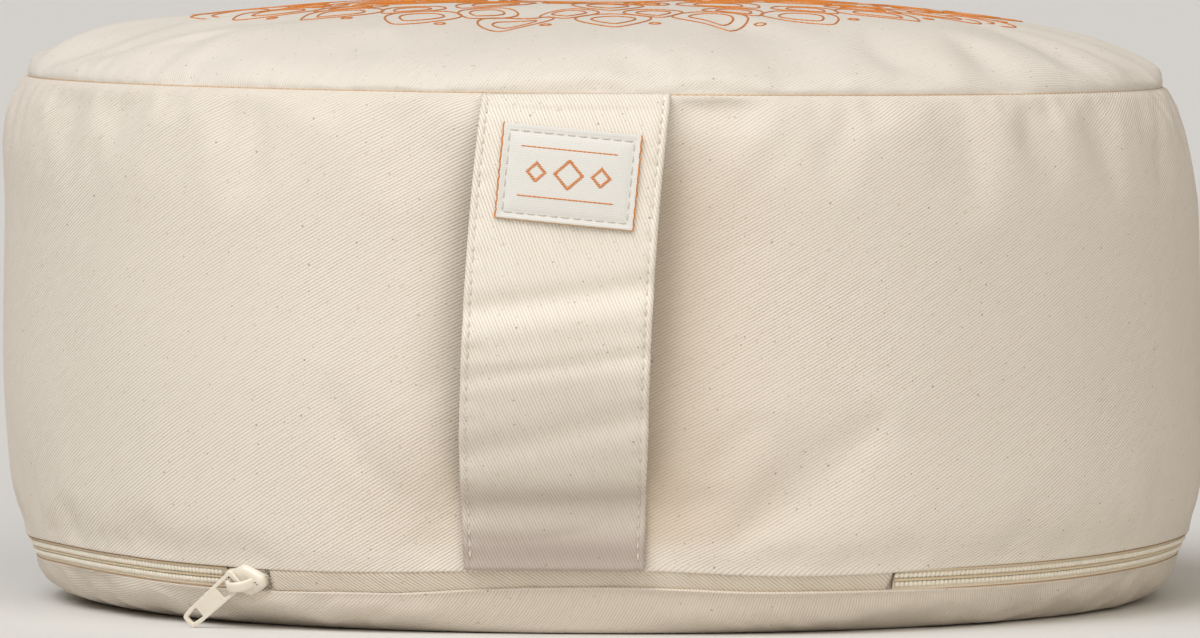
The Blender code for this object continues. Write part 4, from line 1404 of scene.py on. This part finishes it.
def makeSlider(enamel):
    # the body: a rounded shell over the coil, widest where the two rows part
    half = spline(slider["outline"], 20)
    outline = np.vstack([half * (1, -1), half[::-1]])
    tangent = np.roll(outline, -1, axis=0) - np.roll(outline, 1, axis=0)
    tangent /= np.linalg.norm(tangent, axis=1)[:, None]
    inward = np.stack([-tangent[:, 1], tangent[:, 0]], axis=1)
    shell = np.vstack([
        np.column_stack([outline + inward * inset, np.full(len(outline), height)])
        for inset, height in slider["levels"]
    ])
    # the bridge: a rounded bar bent over the pull's head
    path = spline(slider["bridge"], slider["bridgeRows"])
    direction = np.gradient(path, axis=0)
    direction /= np.linalg.norm(direction, axis=1)[:, None]
    turns = np.linspace(0.0, 2 * math.pi, 14, endpoint=False)
    side, up = (
        np.sign(wave) * np.abs(wave) ** slider["bridgeSquareness"] * size / 2
        for wave, size in zip((np.cos(turns), np.sin(turns)), slider["bridgeSize"])
    )
    bar = np.vstack([np.stack([x - dz * up, side, z + dx * up], axis=1)
                     for (x, z), (dx, dz) in zip(path, direction)])
    faces = cappedFaces(len(slider["levels"]), len(outline))
    faces += cappedFaces(len(path), len(turns), start=len(shell))
    mesh = meshOf("zip_slider_body", inSliderFrame(np.vstack([shell, bar])), faces)
    faceOutwards(mesh)
    piece = newObject("zip_slider_body", mesh, [enamel])
    return finishPiece(piece, "enamelled_zip", "zip_slider")


def roundedOutline(corners, radius, steps=4):
    # a polygon with each corner turned as a short arc
    corners = np.array(corners, float)
    rounded = []
    for before, here, after in zip(np.roll(corners, 1, axis=0), corners, np.roll(corners, -1, axis=0)):
        inward, outward = before - here, after - here
        reach = min(radius, 0.45 * np.linalg.norm(inward), 0.45 * np.linalg.norm(outward))
        start = here + inward / np.linalg.norm(inward) * reach
        end = here + outward / np.linalg.norm(outward) * reach
        for share in np.linspace(0.0, 1.0, steps + 1):
            rounded.append((1 - share) ** 2 * start + 2 * share * (1 - share) * here + share**2 * end)
    return np.array(rounded)


def makePull(enamel):
    half, tip = pull["width"] / 2, pull["tipWidth"] / 2
    start, end = -pull["bar"], pull["length"] - pull["bar"]
    outer = [(start, -half), (start, half), (end - pull["taper"], tip + 0.5),
             (end, tip), (end, -tip), (end - pull["taper"], -tip - 0.5)]
    shape = bpy.data.curves.new("zip_pull_shape", "CURVE")
    shape.dimensions = "2D"
    shape.fill_mode = "BOTH"
    shape.bevel_depth = pull["bevel"] * mm
    shape.bevel_resolution = 3
    shape.offset = -pull["bevel"] * mm
    shape.extrude = (pull["thickness"] / 2 - pull["bevel"]) * mm
    lines = [roundedOutline(outer, 1.0)]
    for hole, origin, radius in (("headHole", 0.0, 0.6), ("tipHole", end, 0.5)):
        near, far, wide, narrow = pull[hole]
        near, far = origin + near, origin + far
        lines.append(roundedOutline([(near, -wide), (far, -narrow), (far, narrow), (near, wide)], radius))
    for line in lines:
        strand = shape.splines.new("POLY")
        strand.points.add(len(line) - 1)
        flat = np.zeros(len(line))
        strand.points.foreach_set("co", np.column_stack([line * mm, flat, flat + 1]).ravel())
        strand.use_cyclic_u = True
    source = placeObject("zip_pull_shape", shape)
    graph = bpy.context.evaluated_depsgraph_get()
    mesh = bpy.data.meshes.new_from_object(source.evaluated_get(graph), depsgraph=graph)
    bpy.data.objects.remove(source)
    # laid from the bridge down to its tip, which rests on the cloth
    flat = placesOf(mesh)
    head = inSliderFrame([pull["head"]])[0]
    _, (_, _, normal) = sliderFrame()
    reach = roundPoint(pull["tipAngle"], pull["tipRadius"], pull["tipHeight"]) - head
    print("pull from its bar to its tip:", round(float(np.linalg.norm(reach)), 2), "mm")
    along = reach / np.linalg.norm(reach)
    sideways = np.cross(normal, along)
    sideways /= np.linalg.norm(sideways)
    above = np.cross(along, sideways)
    movePlaces(mesh, head + flat[:, :1] * along + flat[:, 1:2] * sideways + flat[:, 2:] * above)
    mesh.materials.clear()
    faceOutwards(mesh, merge=0.01)
    piece = newObject("zip_pull_tab", mesh, [enamel])
    piece.data.set_sharp_from_angle(angle=math.radians(50))
    return finishPiece(piece, "enamelled_zip", "zip_pull")


seams = {
    "pitch": 2.4,
    "size": (2.1, 0.3, 0.3, 0.06),
    "guardPitch": 2.8,
    "guardSize": (2.1, 0.4, 0.36, 0.05),
}


def makeSeamStitches(surface, material):
    # the thread that shows in the strained upper seam
    radius, height = body["seam"]
    count = round(2 * math.pi * radius / seams["pitch"])
    angle = np.linspace(-180.0, 180.0, count, endpoint=False)
    place = roundPoint(angle, radius + lean(angle, height) + 0.45, height + seamLift(angle))
    outward, around = outwardAround(angle)
    hits = snapTo(surface, place, outward, -0.02)
    piece = stitchPiece("seam_stitches", hits, around, outward, seams["size"], material, seed=4)
    finishPiece(piece, "cotton_twill")
    # the line that holds the guard strip's lower edge
    whole = body["bandLow"][0] * math.radians(guard["to"] - guard["from"])
    angle = np.linspace(guard["from"] + 0.8, guard["to"] - 0.3, round(whole / seams["guardPitch"]))
    place, (around, _, normal) = bandPoint(angle, -3.3, 2.35)
    piece = stitchPiece("guard_stitches", place, around, normal, seams["guardSize"], material, seed=6)
    return finishPiece(piece, "cotton_twill")


fray = {
    "count": 34,
    "seed": 17,
    # where the yarns start: between these angles, places across the channel and places out
    "from": -34.4,
    "to": -32.9,
    "side": (-3.2, 3.4),
    "out": (1.2, 2.8),
    "heading": 2.4,
    "length": (1.2, 3.4),
    "curl": 1.6,
    "lift": 1.2,
}


def makeFray(material):
    # cut yarns at the open end of the guard strip
    rng = np.random.default_rng(fray["seed"])
    steps = np.linspace(0.0, 1.0, 7)
    lines = []
    for _ in range(fray["count"]):
        angle = rng.uniform(fray["from"], fray["to"])
        side, out = rng.uniform(*fray["side"]), rng.uniform(*fray["out"])
        heading = rng.uniform(-fray["heading"], fray["heading"])
        length = rng.uniform(*fray["length"])
        curl = rng.uniform(-fray["curl"], fray["curl"])
        along = -np.abs(math.cos(heading)) * length * steps * 0.7
        across = side + math.sin(heading) * length * steps * 0.6 + curl * steps**2 * 0.5
        lifted = out + rng.uniform(0.0, fray["lift"]) * np.sin(steps * math.pi * 0.8)
        lines.append((bandPoint(angle, np.clip(across, -3.6, 3.8), lifted, along)[0], False))
    piece = threadPiece("guard_fray", lines, 0.22, 0.2, 0.5, material)
    return finishPiece(piece, "cotton_twill")


rosette = {
    # number of petals, inner radius, outer radius, half angle, how far round the first is turned
    "petals": ((24, 94, 124, 6.8, 2), (24, 80, 106, 6.2, 9.5), (12, 46, 84, 11, 2),
               (12, 34, 60, 9, 17)),
    "innerShare": 0.576,
    "rings": (26, 29.5),
    "beads": (24, 118, 1.6),
    "width": 0.62,
    "height": 0.35,
    "above": 172.0,  # where the search for the crown starts
}


def petalLine(angle, inner, outer, halfAngle, share):
    # a pointed petal: out along one side, back along the other
    steps = np.linspace(0.0, 1.0, 22)
    reach = (outer - inner) * share
    radius = (inner + outer) / 2 + (steps - 0.5) * reach
    swell = np.sin(np.pi * steps**0.85) ** 0.8 * halfAngle * share * (1.0 - 0.35 * steps)
    left = np.stack([angle - swell, radius], axis=1)
    right = np.stack([angle + swell, radius], axis=1)[::-1]
    return np.vstack([left, right[1:-1]])


def makeEmbroidery(surface, material):
    # a plain lotus rosette: rings of pointed petals, each with a smaller one inside, and beads
    flat = []
    for count, inner, outer, halfAngle, first in rosette["petals"]:
        for place in range(count):
            for share in (1.0, rosette["innerShare"]):
                flat.append(petalLine(first + place * 360.0 / count, inner, outer, halfAngle, share))
    turns = np.linspace(0.0, 360.0, 90, endpoint=False)
    flat += [np.stack([turns, np.full(len(turns), radius)], axis=1) for radius in rosette["rings"]]
    count, radius, size = rosette["beads"]
    turns = np.linspace(0.0, 2 * math.pi, 12, endpoint=False)
    for place in range(count):
        angle = (place + 0.5) * 360.0 / count + math.degrees(size / radius) * np.cos(turns)
        flat.append(np.stack([angle, radius + size * np.sin(turns)], axis=1))
    lines = []
    for line in flat:
        places = roundPoint(line[:, 0], line[:, 1], rosette["above"])
        lines.append((snapTo(surface, places, (0.0, 0.0, 1.0), 0.1, reach=20.0), True))
    piece = threadPiece("crown_embroidery", lines, rosette["width"], rosette["height"], 1.6, material)
    return finishPiece(piece, "cotton_twill")


stage = {
    "floorReach": 40.0,
    "floorTone": "#dddbd6",
    "skyStrength": 0.22,
    "skyTone": "#fff5e9",
    # elevation, azimuth from the front, strength, spread and colour of each soft light
    "lights": {
        "left_window": (53.0, -46.0, 1.85, 42.0, "#f3f7ff"),
        "front_window": (38.0, 12.0, 1.5, 75.0, "#fffbf5"),
    },
    "cameraPlace": (0.0, -3.062, 0.2228),
    "cameraTilt": 2.653,
    "lens": 314.07,
}


def makeStage():
    mesh = bpy.data.meshes.new("studio_floor")
    disc = bmesh.new()
    bmesh.ops.create_circle(disc, cap_ends=True, segments=96, radius=stage["floorReach"])
    disc.to_mesh(mesh)
    disc.free()
    board = newMaterial("matt_painted_board")[0]
    finishMaterial(board, {"Base Color": linear(stage["floorTone"]), "Roughness": 0.9})
    floor = newObject("studio_floor", mesh, [board], smooth=False)

    scene = bpy.context.scene
    scene.world = bpy.data.worlds.new("soft_sky")
    scene.world.use_nodes = True
    sky = scene.world.node_tree.nodes["Background"].inputs
    sky["Color"].default_value = linear(stage["skyTone"])
    sky["Strength"].default_value = stage["skyStrength"]
    for name, (elevation, azimuth, strength, spread, colour) in stage["lights"].items():
        light = bpy.data.lights.new(name, "SUN")
        light.energy = strength
        light.color = linear(colour)[:3]
        light.angle = math.radians(spread)
        lamp = placeObject(name, light)
        lamp.rotation_euler = (math.radians(90.0 - elevation), 0.0, math.radians(azimuth))

    lens = bpy.data.cameras.new("camera")
    lens.sensor_width = 36.0
    lens.lens = stage["lens"]
    lens.clip_start = 0.1
    lens.clip_end = 200.0
    camera = placeObject("camera", lens)
    camera.location = stage["cameraPlace"]
    camera.rotation_euler = (math.radians(90.0 - stage["cameraTilt"]), 0.0, 0.0)
    scene.camera = camera
    scene.view_settings.view_transform = "Standard"
    print("stage, light and camera are set")


stitchTree = makeStitchTree()
threadTree = makeThreadTree()
makeStage()

wallTwill = cottonTwill("undyed_cotton_twill_wall", twill | {"seamThreadAndShadeTone": "#c7a27a", "seamReach": 0.7})
crownTwill = cottonTwill(
    "undyed_cotton_twill_crown",
    twill | {"turn": -50.0, "relief": 0.055, "hollow": "#d1c8bb", "ridge": "#e8e1d6", "seamThreadAndShadeTone": "#cfa97e",
             "seamReach": 1.3},
)
# the underside and lower hem are the same cloth as the wall, in darker tones that paint the shade they lie in
underTwill = cottonTwill(
    "undyed_cotton_twill_underside",
    twill | {"turn": 66.0, "relief": 0.06, "hollow": "#c6b8a4", "ridge": "#e5dbce"},
)
# the strap's darker multiplied tone is painted shade on its lower end
strapTwill = cottonTwill(
    "undyed_cotton_twill_strap",
    twill | {"turn": -66.0, "pitch": 0.87, "relief": 0.06, "hollow": "#d5c9b8", "ridge": "#f3ecdf",
             "paintedShadeTone": "#bcb3b5"},
)
# the guard strip is the same cloth, in darker tones that paint the shade of the zip channel
guardTwill = cottonTwill(
    "undyed_cotton_twill_guard", twill | {"turn": -38.0, "hollow": "#baa994", "ridge": "#e2d8c8"}
)
creamThread = spunThread("cream_spun_polyester", "#ebe2d2", "#cdc0aa", 0.7, 0.3)
tanThread = spunThread("tan_spun_polyester", "#cfae84", "#b28c60", 0.7, 0.3)
brownThread = spunThread("brown_spun_polyester", "#c8a67c", "#ab8760", 0.75, 0.3)
greyThread = spunThread("grey_spun_polyester", "#dedbcf", "#b9b5a4", 0.7, 0.3)
orangeThread = spunThread("orange_rayon_embroidery", "#e88c2a", "#c26c16", 0.42, 0.45)
labelSatin = wovenSatin("white_polyester_satin", "#eeece6", "#dad7cf", 0.45, 0.05)
zipTape = wovenSatin("woven_polyester_tape", "#f3e9d6", "#e6d7bd", 0.6, 0.05)
# the cord's tan paints the shade in the zip's centre groove
grooveShadeCord = spunThread("tan_groove_shade_cord", "#e6d5b6", "#d6c19e", 0.7, 0.5)
nylon = nylonCoil("heat_set_nylon")
enamel = creamEnamel("stoved_cream_enamel")

coverPiece = makeCover([wallTwill, crownTwill, underTwill])
coverSurface = surfaceOf(coverPiece)
makeStrap(strapTwill)
makeStrapStitches(creamThread)
makeLabel(labelSatin)
makeLabelStitches(greyThread)
makeLabelEdges(orangeThread, brownThread)
makeLabelOrnament(orangeThread)
makeGuard(guardTwill)
makeZip(nylon, zipTape, grooveShadeCord, brownThread)
makeSlider(enamel)
makePull(enamel)
makeSeamStitches(coverSurface, tanThread)
makeFray(creamThread)
makeEmbroidery(coverSurface, orangeThread)
